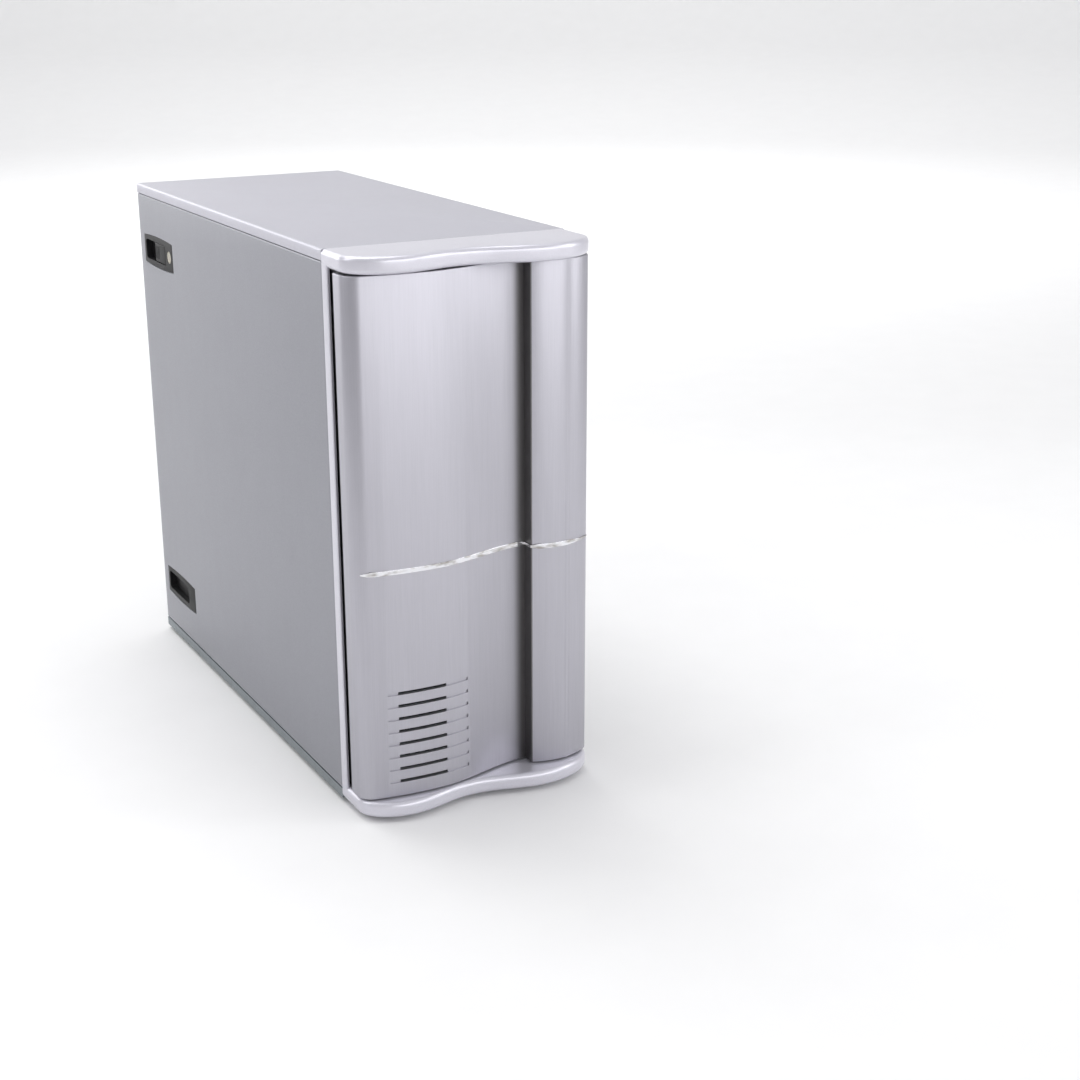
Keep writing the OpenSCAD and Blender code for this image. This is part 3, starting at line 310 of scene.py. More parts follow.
def box(name, low, high):
    """A block from any two opposite corners."""
    low, high = Vector([*map(min, low, high)]), Vector([*map(max, low, high)])
    fresh()
    bpy.ops.mesh.primitive_cube_add(size=1, location=(low + high) / 2, scale=high - low)
    block = bpy.context.object
    block.name = name
    bpy.ops.object.transform_apply(location=True, rotation=True, scale=True)
    return block


def together(things, name):
    """Several objects joined into one mesh."""
    fresh()
    for thing in things:
        thing.select_set(True)
    bpy.context.view_layer.objects.active = things[0]
    bpy.ops.object.join()
    whole = bpy.context.object
    whole.name = name
    return whole


def boolean(thing, tools, operation="DIFFERENCE"):
    """Cuts the tools out of a piece, or welds them to it."""
    tool = together(tools, "tool") if len(tools) > 1 else tools[0]
    modify(thing, "BOOLEAN", object=tool, operation=operation, solver="EXACT", use_self=len(tools) > 1)
    bpy.data.objects.remove(tool)
    return thing


def finished(thing, edge=0.3 * mm, segments=2, angle=30, smooth=35):
    """Smooth shading by angle, and small rounded edges that leave the flat faces flat."""
    fresh()
    thing.select_set(True)
    bpy.context.view_layer.objects.active = thing
    bpy.ops.object.shade_smooth_by_angle(angle=math.radians(smooth))
    if edge:
        modify(thing, "BEVEL", width=edge, segments=segments, limit_method="ANGLE",
               angle_limit=math.radians(angle), use_clamp_overlap=True, harden_normals=True)
    return thing


def piece(thing, body, slot, *nodes):
    """Says what the piece rides on and the nodes it stands for; the slot, its finish, is not used."""
    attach(thing, body)
    if nodes:
        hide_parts(*nodes)
    return thing


def ease(t):
    return (1 - math.cos(math.pi * t)) / 2


def arc(middle, radii, a0, a1, n):
    """Points on an arc, in plan, with the front towards -Y."""
    angles = [math.radians(a0 + (a1 - a0) * k / n) for k in range(n + 1)]
    return [(middle[0] + radii[0] * math.cos(a), joint - middle[1] - radii[1] * math.sin(a)) for a in angles]


def wave(x0, d0, x1, d1, n):
    """A smooth sweep from one depth in front of the joint to another."""
    return [(x0 + (x1 - x0) * k / n, joint - d0 - (d1 - d0) * ease(k / n)) for k in range(n + 1)]


bezel_low, bezel_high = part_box("bezel_shell")
bezel_d = joint - bezel_low.y
lip_t = 13 * mm
wall_t = 2.5 * mm
lip_left_x, lip_dip_x, lip_right_x = -0.6 * half, -0.1 * half, 0.54 * half
lip_left_d, lip_dip_d = bezel_d - 4.5 * mm, bezel_d - 12.5 * mm
left_round, right_round = 27 * mm, 30 * mm


def lip_line():
    """The front edge of a lip, from its left rear corner round to its right one."""
    left = arc((lip_left_x, lip_left_d - left_round), (half + lip_left_x, left_round), 180, 92, 22)
    right = arc((lip_right_x, bezel_d - right_round), (half - lip_right_x, right_round), 88, 0, 22)
    dip = wave(lip_left_x, lip_left_d, lip_dip_x, lip_dip_d, 16)
    rise = wave(lip_dip_x, lip_dip_d, lip_right_x, bezel_d, 18)
    return [(-half, joint)] + left + dip + rise[1:] + right + [(half, joint)]


def lip(name, z_low, rounding):
    block = outline_block(name, lip_line(), z_low, z_low + lip_t)
    return rounded(block, lambda e: along(e, 2) < 1e-6 and min(v.co.y for v in e.verts) < joint - 0.1 * mm,
                   rounding, 6, profile=0.55, clamp_overlap=True)


low_lip = lip("low_lip", bezel_low.z, 4.6 * mm)
high_lip = lip("high_lip", bezel_high.z - lip_t, 4.2 * mm)
walls = []
for side, depth in ((-1, 9 * mm), (1, 8 * mm)):
    wall = box("wall", (side * half, joint - depth, bezel_low.z + lip_t - 3 * mm),
               (side * (half - wall_t), joint, bezel_high.z - lip_t + 3 * mm))
    outer = both(lambda c: c.y < joint - mm and abs(c.x) > half - mm)
    walls.append(rounded(wall, lambda e: outer(e) and along(e, 2) > 0.1, mm, 3))
bezel = boolean(low_lip, [high_lip, *walls], "UNION")
bezel.name = "bezel"
finished(bezel, edge=0, smooth=40)
piece(bezel, "case", "bezel_silver", "bezel_shell")
bezel_silver = lacquer("bezel_silver", (0.7, 0.69, 0.76), 0.45, 0.32, grain=0.3 * mm, depth=0.008 * mm,
                       coat=0.35)
bezel_silver.on(bezel)


# ------------------------------------------------------------------ Door skin
# A sheet of aluminium, brushed upwards and anodised, rolled to a broad bulge, a valley and a
# narrow column. Eight air slots are pressed low in the bulge; their ends are shallow dimples.
# Shade is painted dark into the foot of the valley, where it meets the step.
skin_low, skin_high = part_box("door_skin")
skin_t = 1.5 * mm
bulge_x, bulge_d, bulge_r = -0.376 * half, bezel_d - 13 * mm, 250 * mm
corner_l, corner_r = 14 * mm, 10 * mm
step_x, valley_d = 0.465 * half, bezel_d - 28.4 * mm
column_x, column_d, column_r = 0.693 * half, bezel_d - 12.5 * mm, 52 * mm
door_back_l, door_back_r = 20 * mm, 22 * mm


def door_line(inset, fine=2):
    """The door's face set in by an amount, from its left rear edge round to its right one."""
    r = bulge_r - inset
    centre = bulge_d - bulge_r
    cx = -half + corner_l
    cd = centre + math.sqrt((bulge_r - corner_l) ** 2 - (cx - bulge_x) ** 2)
    ca = math.degrees(math.atan2(cd - centre, cx - bulge_x))
    col = column_d - column_r
    rx = half - corner_r
    rd = col + math.sqrt((column_r - corner_r) ** 2 - (rx - column_x) ** 2)
    ra = math.degrees(math.atan2(rd - col, rx - column_x))
    sa = math.degrees(math.acos((step_x + inset - column_x) / (column_r - inset)))
    return ([(-half + inset, joint - door_back_l)]
            + arc((cx, cd), (corner_l - inset,) * 2, 180, ca, 8 * fine)
            + arc((bulge_x, centre), (r, r), ca, 90, 6 * fine)[1:]
            + wave(bulge_x, bulge_d - inset, step_x + inset, valley_d - inset, 14 * fine)[1:]
            + arc((column_x, col), (column_r - inset,) * 2, sa, ra, 10 * fine)
            + arc((rx, rd), (corner_r - inset,) * 2, ra, 0, 6 * fine)[1:]
            + [(half - inset, joint - door_back_r)])


def part_line(inset, across, fine=2):
    """The part of the face between two places across the door."""
    front = joint - 25 * mm
    return [p for p in door_line(inset, fine) if across[0] <= p[0] <= across[1] and p[1] < front]


skin = outline_block("door_skin_sheet", door_line(0) + door_line(skin_t)[::-1], skin_low.z, skin_high.z)
face = {(round(x, 6), round(y, 6)) for x, y in door_line(0)}
on_face = both(lambda c: (round(c.x, 6), round(c.y, 6)) in face)
rounded(skin, lambda e: along(e, 2) < 1e-6 and on_face(e), 0.7 * mm, 3)
vent_x, vent_l, vent_h, vent_pitch, vent_n = -0.5 * half, 40 * mm, 2.6 * mm, 10.5 * mm, 8
vent_z = bezel_low.z + 27 * mm
dimple_x = (vent_x - 30.5 * mm, vent_x + 41 * mm)


def dimple(z):
    """A groove pressed in the face along its curve, to both sides of a slot."""
    points = part_line(-mm, dimple_x, 4) + part_line(mm, dimple_x, 4)[::-1]
    return outline_block("groove", points, z - vent_h / 2, z + vent_h / 2)


def slot_tool(z):
    return box("slot", (vent_x - vent_l / 2, joint - bezel_d, z - vent_h / 2),
               (vent_x + vent_l / 2, joint - 20 * mm, z + vent_h / 2))


vent_rows = [vent_z + k * vent_pitch for k in range(vent_n)]
boolean(skin, [dimple(z) for z in vent_rows])
boolean(skin, [slot_tool(z) for z in vent_rows])
finished(skin, edge=0, smooth=32)
piece(skin, "door", "door_aluminium", "door_skin")


def brushed(name, colour, stretch, rough=0.38, depth=0.02 * mm):
    """Metal brushed along one way: long fine lines in colour, roughness and height."""
    p = Paint(name, metallic=0.92)
    line = p.noise(0.6 * mm, stretch, detail=4, rough=0.65)
    band = p.noise(5 * mm, stretch, detail=3)
    cloud = p.noise(120 * mm, detail=2)
    tone = p.blend(cloud, shade(colour, 0.97), shade(colour, 1.03))
    p.put(base_color=p.blend(line * 0.6 + band * 0.1 - 0.1, tone, shade(colour, 0.74)))
    p.put(roughness=rough - 0.05 + line * 0.09 + band * 0.05)
    p.put(normal=p.bump(line * 0.7 + band * 0.3, depth, 0.5))
    return p


door_metal = brushed("door_aluminium", (0.49, 0.483, 0.53), (1, 1, 0.012))
# Painted shade: the base colour darkens towards the foot of the valley's step, the inside corner that lies
# in shade.
door_x = door_metal.across(0)
corner = {0: door_x, 1: step_x - 13 * mm, 2: step_x - mm, 3: 0.0, 4: 1.0}
valley_shade = door_metal.node("ShaderNodeMapRange", corner, interpolation_type="SMOOTHERSTEP")
valley_shade = valley_shade * (door_x < step_x + 0.8 * mm)
unshaded_colour = Wire(door_metal, door_metal.shader.inputs["Base Color"].links[0].from_socket)
door_metal.put(base_color=door_metal.blend(valley_shade * 0.85, unshaded_colour, (0.12, 0.115, 0.11)))
door_metal.on(skin)


# ------------------------------------------------------------------ Door frame
# The grey moulding behind the skin, with its end plates and the barrel that the pins run in.
def cad_copy(node, name):
    """A piece made from a node's own shape, its triangles merged into clean faces."""
    fresh()
    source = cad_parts[node]
    source.hide_viewport = False
    source.select_set(True)
    bpy.context.view_layer.objects.active = source
    bpy.ops.object.duplicate()
    copy = bpy.context.object
    copy.name = name
    copy.parent = None
    for key in list(copy.keys()):
        del copy[key]
    with editing(copy, "VERT"):
        bpy.ops.mesh.select_all(action="SELECT")
        bpy.ops.mesh.remove_doubles(threshold=0.002 * mm)
        bpy.ops.mesh.dissolve_limited(angle_limit=math.radians(0.5))
    return copy


door_frame = finished(cad_copy("door_frame", "door_backing"), edge=0.4 * mm)
piece(door_frame, "door", "door_backing", "door_frame")


def moulded(name, colour, rough=0.5, grain=0.8 * mm, depth=0.03 * mm):
    """Moulded plastic: fine spark-eroded texture and faint flow marks."""
    p = Paint(name, coat_weight=0.0)
    texture = p.noise(grain, detail=3, rough=0.6)
    flow = p.noise(25 * mm, (1, 1, 0.5), detail=2)
    p.put(base_color=p.blend(flow, shade(colour, 0.88), shade(colour, 1.12)))
    p.put(roughness=rough - 0.04 + texture * 0.08)
    p.put(normal=p.bump(texture, depth, 0.5))
    return p


door_grey = moulded("door_backing", (0.2, 0.205, 0.215))
door_grey.on(door_frame)

# ------------------------------------------------------------------ Door strip
# A polished strip that follows the face across the middle of the door. It narrows where it
# crosses the valley's step and towards its ends.
strip_low, strip_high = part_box("door_strip")
strip_z = (strip_low.z + strip_high.z) / 2


def strip_width(x):
    """The strip's share of its full height at a place across the door."""
    left_end = min(1.0, 0.25 + max(0.0, x - strip_low.x) / (9 * mm))
    right_end = min(1.0, 0.12 + max(0.0, strip_high.x - x) / (26 * mm))
    step = min(1.0, 0.5 + abs(x - step_x) / (9 * mm))
    return min(left_end, right_end, step)


strip_x = (strip_low.x, strip_high.x)
strip_points = part_line(-0.75 * mm, strip_x) + part_line(0.1 * mm, strip_x)[::-1]
strip = outline_block("door_strip_bar", strip_points, strip_low.z, strip_high.z)
for v in strip.data.vertices:
    v.co.z = strip_z + (v.co.z - strip_z) * strip_width(v.co.x)
finished(strip, edge=0.35 * mm, segments=3, angle=50, smooth=50)
piece(strip, "door", "strip_chrome", "door_strip")
chrome = Paint("strip_chrome", metallic=1.0, coat_weight=0.3)
polish = chrome.noise(9 * mm, (1, 0.5, 3), detail=2)
patch = chrome.node("ShaderNodeMapRange", {0: polish, 1: 0.32, 2: 0.58})
chrome.put(base_color=chrome.blend(patch, (0.36, 0.34, 0.32), (0.82, 0.82, 0.85)))
chrome.put(roughness=0.08 + polish * 0.08)
chrome.on(strip)

# ------------------------------------------------------------------ Covers and panels
# Top cover and side panels are folded from one-millimetre steel and sprayed with a fine-grained
# silver paint. The top folds down over both sides; each panel folds in round its edges. The
# panels take a darker copy of the cover's paint, as painted shade.
top_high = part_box("top_cover")[1]
sheet = mm
top_fold = 8.5 * mm


def folded(name, low, high, rounding, test, segments=4):
    """A block whose chosen edges are rounded as a press rounds a fold."""
    return rounded(box(name, low, high), test, rounding, segments)


rear_fold = 9.5 * mm
upper = both(lambda c: c.z > top_high.z - mm)
front = both(lambda c: c.y < joint + mm)
cover = folded("top_sheet", (-half, joint + 0.25 * mm, top_high.z - top_fold), (half, back, top_high.z),
               1.6 * mm, lambda e: upper(e) and not front(e))
hollow = box("hollow", (-half + sheet, joint - mm, top_high.z - 20 * mm),
             (half - sheet, back - sheet, top_high.z - sheet))
boolean(cover, [hollow])
tail = box("tail", (-half + sheet + 0.5 * mm, back - sheet, top_high.z - rear_fold),
           (half - sheet - 0.5 * mm, back, top_high.z - top_fold + mm))
boolean(cover, [tail], "UNION")
notches = [box("notch", (x * mm, joint, top_high.z - 0.35 * mm),
               ((x + 2.6) * mm, joint + 0.9 * mm, top_high.z + mm))
           for x in range(-98, 96, 5)]
boolean(cover, notches)
finished(cover, edge=0.2 * mm)
piece(cover, "case", "cover_silver", "top_cover")

handle_low, handle_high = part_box("left_handles")
handle_l = handle_high.y - handle_low.y
handle_y = (handle_low.y + handle_high.y) / 2
handle_h, handle_bow, handle_d = 25 * mm, 1.6 * mm, 7.5 * mm
handle_top = handle_high.z - handle_h / 2 - handle_bow
handle_bottom = handle_low.z + handle_h / 2 + handle_bow


def handle_line(grow):
    """The handle's outline in Y and Z about its middle: flat ends, bowed top and bottom."""
    r = ((handle_l / 2) ** 2 + handle_bow ** 2) / (2 * handle_bow)
    a = math.asin(handle_l / 2 / r)
    bow = [a * (1 - k / 7) for k in range(15)]
    wide = 1 + grow / (handle_l / 2)
    upper = [(r * math.sin(b) * wide, handle_h / 2 + grow + handle_bow - r + r * math.cos(b)) for b in bow]
    return upper + [(-y, -z) for y, z in upper]


def side_block(name, points, at, x0, x1):
    """A block of an outline in Y and Z, from one X to another."""
    block = outline_block(name, points, 0, abs(x1 - x0))
    turned = Matrix(((0, 0, 1, min(x0, x1)), (1, 0, 0, at[0]), (0, 1, 0, at[1]), (0, 0, 0, 1)))
    block.data.transform(turned)
    return block


def cylinder(name, at, radius, length, axis="Y", sides=32):
    """A rod from a point along an axis, in the axis's own direction."""
    turn = {"X": (0, math.pi / 2, 0), "Y": (-math.pi / 2, 0, 0), "Z": (0, 0, 0)}[axis]
    step = {"X": (1, 0, 0), "Y": (0, 1, 0), "Z": (0, 0, 1)}[axis]
    fresh()
    bpy.ops.mesh.primitive_cylinder_add(vertices=sides, radius=radius, depth=length,
                                        location=Vector(at) + Vector(step) * length / 2, rotation=turn)
    rod = bpy.context.object
    rod.name = name
    bpy.ops.object.transform_apply(location=True, rotation=True, scale=True)
    return rod


# Painted shade: the side panels' silver is the cover's paint made darker, for the shade on the upright
# faces.
shaded_panel_paint = lacquer("panel_silver", (0.32, 0.323, 0.357), 0.6, 0.4, coat=0.08)
cover_paint = lacquer("cover_silver", (0.53, 0.525, 0.585), 0.5, 0.38, coat=0.1)
cover_paint.on(cover)
screw_heights = (bezel_low.z + 70 * mm, bezel_high.z - 76 * mm)
for side, name in ((-1, "left"), (1, "right")):
    low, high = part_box(f"{name}_side_panel")
    out = side * half
    panel = folded(f"{name}_panel_sheet", (out, low.y, low.z), (out - side * 6 * mm, back, high.z), 1.2 * mm,
                   both(lambda c: abs(c.x) > half - 0.5 * mm))
    inside = box("inside", (out - side * sheet, low.y + 1.5 * mm, low.z + sheet),
                 (out - side * 20 * mm, back + mm, high.z - sheet))
    trim = box("trim", (out - side * 3 * mm, back - 2.6 * mm, low.z - mm),
               (out - side * 20 * mm, back + mm, high.z + mm))
    boolean(panel, [inside, trim])
    flange = folded("flange", (out - side * 0.6 * mm, back - sheet, low.z + 1.5 * mm),
                    (out - side * rear_fold, back, high.z - 1.5 * mm), 0.8 * mm,
                    both(lambda c: abs(c.x) < half - 5 * mm and c.y > back - 0.1 * mm))
    boolean(panel, [flange], "UNION")
    holes = [side_block("hole", handle_line(0.2 * mm), (handle_y, z), out - 3 * mm, out + 3 * mm)
             for z in (handle_top, handle_bottom)]
    boolean(panel, holes)
    boolean(panel, [cylinder("hole", (out - side * 5.5 * mm, back - 3 * mm, z), 1.8 * mm, 6 * mm)
                    for z in screw_heights])
    finished(panel, edge=0.2 * mm)
    piece(panel, f"{name}_panel", "panel_silver", f"{name}_side_panel")
    shaded_panel_paint.on(panel)

# ------------------------------------------------------------------ Handles, levers and locks
# Black moulded handles sit in the panels. The upper one has a lever over its finger hollow and
# a nickel lock barrel at its front; the lower one is a plain finger hollow.
lever_low, lever_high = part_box("left_latch")
lock_low, lock_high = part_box("left_lock")
lock_y, lock_r = (lock_low.y + lock_high.y) / 2, 5.5 * mm
finger_y = handle_y + handle_l / 2 - 4 * mm
black_plastic = moulded("handle_black", (0.011, 0.011, 0.012), rough=0.5, grain=0.5 * mm)
black_plastic.put(specular_ior_level=0.25)
nickel = brushed("lock_nickel", (0.5, 0.47, 0.4), (1, 0.3, 0.3), rough=0.28, depth=0.01 * mm)
for side, name in ((-1, "left"), (1, "right")):
    out = side * half
    deep = out - side * handle_d
    shells = []
    for z in (handle_top, handle_bottom):
        shell = side_block("shell", handle_line(-0.05 * mm), (handle_y, z), deep, out)
        rounded(shell, both(lambda c: abs(c.x) > half - 0.1 * mm), 0.7 * mm, 3)
        start = lever_low.y + (0 if z == handle_top else -mm)
        hollow = folded("hollow", (out + side * mm, start, z - 8.9 * mm),
                        (deep + side * mm, finger_y, z + 8.9 * mm), 3.5 * mm, lambda e: along(e, 0) > mm)
        boolean(shell, [hollow])
        if z == handle_top:
            boolean(shell, [cylinder("bore", (min(deep, out) - mm, lock_y, z), 5.56 * mm, 10 * mm, "X", 48)])
        shells.append(shell)
    handles = finished(together(shells, f"{name}_handle_shells"), edge=0.3 * mm)
    piece(handles, f"{name}_panel", "handle_black", f"{name}_handles")

    pin_x, pin_y = out - side * 3 * mm, lever_low.y + 2.5 * mm
    blade = folded("blade", (out - side * 0.3 * mm, pin_y, lever_low.z),
                   (out - side * 2.7 * mm, lever_high.y, lever_high.z), mm,
                   both(lambda c: abs(c.x) > half - 0.4 * mm), 3)
    grips = [box("grip", (out - 0.35 * mm, lever_high.y - (3 + 3 * k) * mm, lever_low.z + 3 * mm),
                 (out + 0.35 * mm, lever_high.y - (2 + 3 * k) * mm, lever_high.z - 3 * mm))
             for k in range(4)]
    for grip in grips:
        grip.data.transform(Matrix.Translation((-side * 0.3 * mm, 0, 0)))
    boolean(blade, grips)
    barrel = cylinder("barrel", (pin_x, pin_y, lever_low.z), 2.45 * mm, lever_high.z - lever_low.z, "Z")
    boolean(barrel, [cylinder("bore", (pin_x, pin_y, lever_low.z - mm), 1.1 * mm, 30 * mm, "Z", 24)])
    lever = finished(together([blade, barrel], f"{name}_lever"), edge=0.2 * mm)
    piece(lever, f"{name}_lever", "handle_black", f"{name}_latch")
    black_plastic.on(handles, lever)

    start = min(out - side * 0.25 * mm, deep)
    plug = cylinder("plug", (start, lock_y, handle_top), 4.4 * mm, handle_d - 0.25 * mm, "X", 48)
    ring = cylinder("ring", (start, lock_y, handle_top), lock_r - 0.02 * mm, handle_d - 0.25 * mm, "X", 48)
    boolean(ring, [cylinder("ring_bore", (start - mm, lock_y, handle_top), 4.7 * mm, handle_d + 2 * mm,
                            "X", 48)])
    key = box("key", (out + side * mm, lock_y - 0.6 * mm, handle_top - 2.6 * mm),
              (out - side * 5 * mm, lock_y + 0.6 * mm, handle_top + 2.6 * mm))
    boolean(plug, [key])
    cam = box("cam", (deep - side * 0.1 * mm, lock_y - 3 * mm, handle_top - 3 * mm),
              (deep - side * 1.5 * mm, lock_y + 3 * mm, handle_top + 10.8 * mm))
    lock = finished(together([plug, ring, cam], f"{name}_lock_barrel"), edge=0.35 * mm, segments=3)
    piece(lock, f"{name}_barrel", "lock_nickel", f"{name}_lock")
    nickel.on(lock)

# ------------------------------------------------------------------ Inner bezel
# A black moulding behind the door that carries the drive covers, the buttons and the front
# sockets, with a mesh grille over the intake fan.
def dressed(node, body, slot, edge=0.3 * mm, smooth=35):
    """A node's own shape with small rounded edges, in place of that node."""
    thing = finished(cad_copy(node, f"{node}_piece"), edge=edge, smooth=smooth)
    return piece(thing, body, slot, node)


inner_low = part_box("bezel_inner")[0]
inner_black = moulded("bezel_black", (0.028, 0.028, 0.031), rough=0.5, grain=0.6 * mm)
inner_black.on(dressed("bezel_inner", "case", "bezel_black", 0.5 * mm))
grille_black = moulded("grille_black", (0.02, 0.02, 0.022), rough=0.38, grain=0.3 * mm)
grille_black.on(dressed("intake_grille", "case", "grille_black", 0.15 * mm))
tooth_heights = [bezel_low.z + (16 + 4.4 * k) * mm for k in range(30)]
teeth = [box("tooth", (inner_low.x + 0.2 * mm, joint - 10.6 * mm, z),
             (inner_low.x + 5 * mm, joint - 9.2 * mm, z + 1.6 * mm)) for z in tooth_heights]
tooth_row = finished(together(teeth, "side_vent_teeth"), edge=0.25 * mm, segments=1)
piece(tooth_row, "case", "bezel_black")
inner_black.on(tooth_row)

# ------------------------------------------------------------------ Drives
# Silver-grey covers close the empty bays. The optical drive has a tray front with its own
# button; the hard drive is a cast aluminium box in the cage.
def galvanised(name, colour, rough=0.4, streak=(1, 1, 0.35)):
    """Zinc-plated steel: a faint spangle, drawn streaks and a bluish bloom."""
    p = Paint(name, metallic=0.85)
    sockets = {"Vector": p.place(), "Scale": 1 / (7 * mm)}
    spangle = p.node("ShaderNodeTexVoronoi", sockets, out="Distance", feature="F1")
    drawn = p.noise(2 * mm, streak, detail=4)
    bloom = p.noise(70 * mm, detail=3)
    tone = p.blend(bloom, shade(colour, 0.86), (colour[0] * 1.1, colour[1] * 1.1, min(1, colour[2] * 1.04)))
    p.put(base_color=p.blend(spangle * 0.25 + drawn * 0.25, tone, shade(colour, 0.72)))
    p.put(roughness=rough - 0.08 + drawn * 0.1 + spangle * 0.08)
    p.put(normal=p.bump(drawn * 0.6 + spangle * 0.4, 0.02 * mm, 0.5))
    return p


cover_grey = moulded("cover_plastic", (0.42, 0.425, 0.45), rough=0.45)
drive_metal = galvanised("drive_steel", (0.55, 0.57, 0.6))
button_paint = lacquer("button_silver", (0.66, 0.66, 0.69), 0.4, 0.3)
disk_cast = lacquer("disk_aluminium", (0.55, 0.56, 0.58), 0.8, 0.42, grain=0.6 * mm, depth=0.05 * mm, coat=0)
cover_grey.on(dressed("bay_covers", "case", "cover_plastic", 0.6 * mm))
drive_metal.on(dressed("optical_drive", "case", "drive_steel", 0.4 * mm))
cover_grey.on(dressed("disc_tray", "case", "cover_plastic", 0.5 * mm))
button_paint.on(dressed("eject_button", "eject_key", "button_silver", 0.4 * mm))
disk_cast.on(dressed("hard_drive", "case", "disk_aluminium", 0.8 * mm))

# ------------------------------------------------------------------ Front controls
# A round power key, a small reset key, two lights and a row of front sockets under the bays.
button_paint.on(dressed("power_button", "power_key", "button_silver", 0.7 * mm))
button_paint.on(dressed("reset_button", "reset_key", "button_silver", 0.5 * mm))
lens = Paint("light_lens", transmission_weight=0.5, ior=1.49)
haze = lens.noise(1.5 * mm)
blue_side = lens.across(2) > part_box("status_lights")[0].z + 6 * mm
lens.put(base_color=lens.blend(blue_side, (0.9, 0.25, 0.1), (0.15, 0.35, 0.95)))
lens.put(roughness=0.12 + haze * 0.1)
lens.on(dressed("status_lights", "case", "light_lens", 0.3 * mm))
port_grey = moulded("port_panel", (0.3, 0.305, 0.32), rough=0.4)
port_grey.on(dressed("front_ports", "case", "port_panel", 0.25 * mm))
pin_metal = brushed("pin_steel", (0.6, 0.6, 0.62), (1, 1, 0.2), rough=0.3)
pin_metal.on(dressed("hinge_pins", "case", "pin_steel", 0.3 * mm))

# ------------------------------------------------------------------ Chassis
# The frame inside: base tray, front panel, board tray and drive cage, all pressed from
# zinc-plated steel sheet.
zinc = galvanised("case_steel", (0.27, 0.3, 0.325))
for node in ("chassis_base", "front_panel", "motherboard_tray", "drive_cage"):
    zinc.on(dressed(node, "case", "case_steel", 0.2 * mm))

# ------------------------------------------------------------------ Feet
# Four moulded rubber feet, each with a shallow dish in its sole and a screw through its middle.
rubber = moulded("foot_rubber", (0.035, 0.035, 0.036), rough=0.75, grain=0.6 * mm, depth=0.06 * mm)
rubber.on(dressed("feet", "case", "foot_rubber", 0.6 * mm, smooth=45))

# ------------------------------------------------------------------ Rear panel
# Pressed steel with stiffening swages round the openings, two slotted bridges, a key hook and
# a stamped grille of hexagons over the fan.
rear = cad_copy("rear_panel", "rear_sheet")
panel_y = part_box("rear_panel")[1].y
base_z = bezel_low.z


def swage(x0, x1, z0, z1, height=0.7 * mm, corner=None, rim=None, y=None):
    """A raised rib, or a raised rim round a flat field, pressed up out of the sheet."""
    y = panel_y if y is None else y
    bar = box("swage", (x0, y - 0.3 * mm, z0), (x1, y + height, z1))
    corner = corner or 0.49 * min(x1 - x0, z1 - z0)
    rounded(bar, lambda e: along(e, 1) > height, corner, 6)
    if rim:
        field = box("field", (x0 + rim, y - mm, z0 + rim), (x1 - rim, y + height + mm, z1 - rim))
        rounded(field, lambda e: along(e, 1) > height, max(corner - rim, 0.8 * mm), 6)
        boolean(bar, [field])
    on_top = both(lambda c: c.y > y + height - 0.01 * mm)
    return rounded(bar, lambda e: on_top(e) and len(e.link_faces) == 2
                   and any(abs(f.normal.y) < 0.5 for f in e.link_faces),
                   0.55 * height, 3, clamp_overlap=True)


exhaust_low, exhaust_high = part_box("exhaust_fan_frame")
exhaust_x, exhaust_z = (exhaust_low.x + exhaust_high.x) / 2, (exhaust_low.z + exhaust_high.z) / 2
shield_low, shield_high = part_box("io_shield")
slots_low, slots_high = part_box("slot_covers")
swages = [
    swage(shield_low.x - 3.5 * mm, shield_high.x + 3 * mm, shield_low.z - 0.6 * mm,
          shield_high.z + 4 * mm, rim=2 * mm, corner=3 * mm),
    swage(slots_low.x - 1.5 * mm, slots_high.x + 3 * mm, slots_low.z - 4.5 * mm, slots_high.z + 0.8 * mm,
          rim=1.8 * mm, corner=4 * mm),
    swage(half - 60 * mm, half - 18 * mm, base_z + 15 * mm, base_z + 145 * mm, rim=1.6 * mm, corner=4 * mm),
    swage(half - 50 * mm, half - 28 * mm, base_z + 26 * mm, base_z + 138 * mm, height=0.5 * mm,
          rim=1.4 * mm, corner=3 * mm),
]
for x0, x1, z in ((33, 96, 186), (38, 90, 169)):
    swages.append(swage(half - x1 * mm, half - x0 * mm, base_z + (z - 1.8) * mm, base_z + (z + 3.6) * mm,
                        height=1.1 * mm, rim=1.2 * mm))
    for x in (x0 + 8, x1 - 8):
        swages.append(swage(half - (x + 5) * mm, half - (x - 5) * mm, base_z + (z - 0.2) * mm,
                            base_z + (z + 1.8) * mm, height=1.2 * mm))
for x0, x1, z0, z1 in ((25, 21.5, 187, 204), (28, 21.5, 198, 202)):
    swages.append(swage(half - x0 * mm, half - x1 * mm, base_z + z0 * mm, base_z + z1 * mm,
                        height=1.6 * mm))
for sx in (-1, 1):
    for sz in (-1, 1):
        pad = swage(-9.5 * mm, 9.5 * mm, -5 * mm, 5 * mm, height=0.8 * mm, rim=1.8 * mm)
        spin = Matrix.Rotation(math.radians(45) * -sx * sz, 4, "Y")
        pad.data.transform(Matrix.Translation((0, -panel_y, 0)))
        pad.data.transform(Matrix.Translation((exhaust_x + sx * 52.5 * mm, panel_y,
                                               exhaust_z + sz * 52.5 * mm)) @ spin)
        swages.append(pad)
swage_set = finished(together(swages, "rear_swages"), edge=0, smooth=40)
piece(swage_set, "case", "case_steel")
finished(rear, edge=0.12 * mm, segments=1)
piece(rear, "case", "case_steel", "rear_panel")
rear_zinc = galvanised("rear_steel", (0.27, 0.3, 0.325), rough=0.36)
rear_zinc.on(rear, swage_set)
loop_metal = galvanised("loop_steel", (0.34, 0.37, 0.39), rough=0.33)
loop_metal.on(dressed("padlock_loop", "case", "loop_steel", 0.25 * mm))
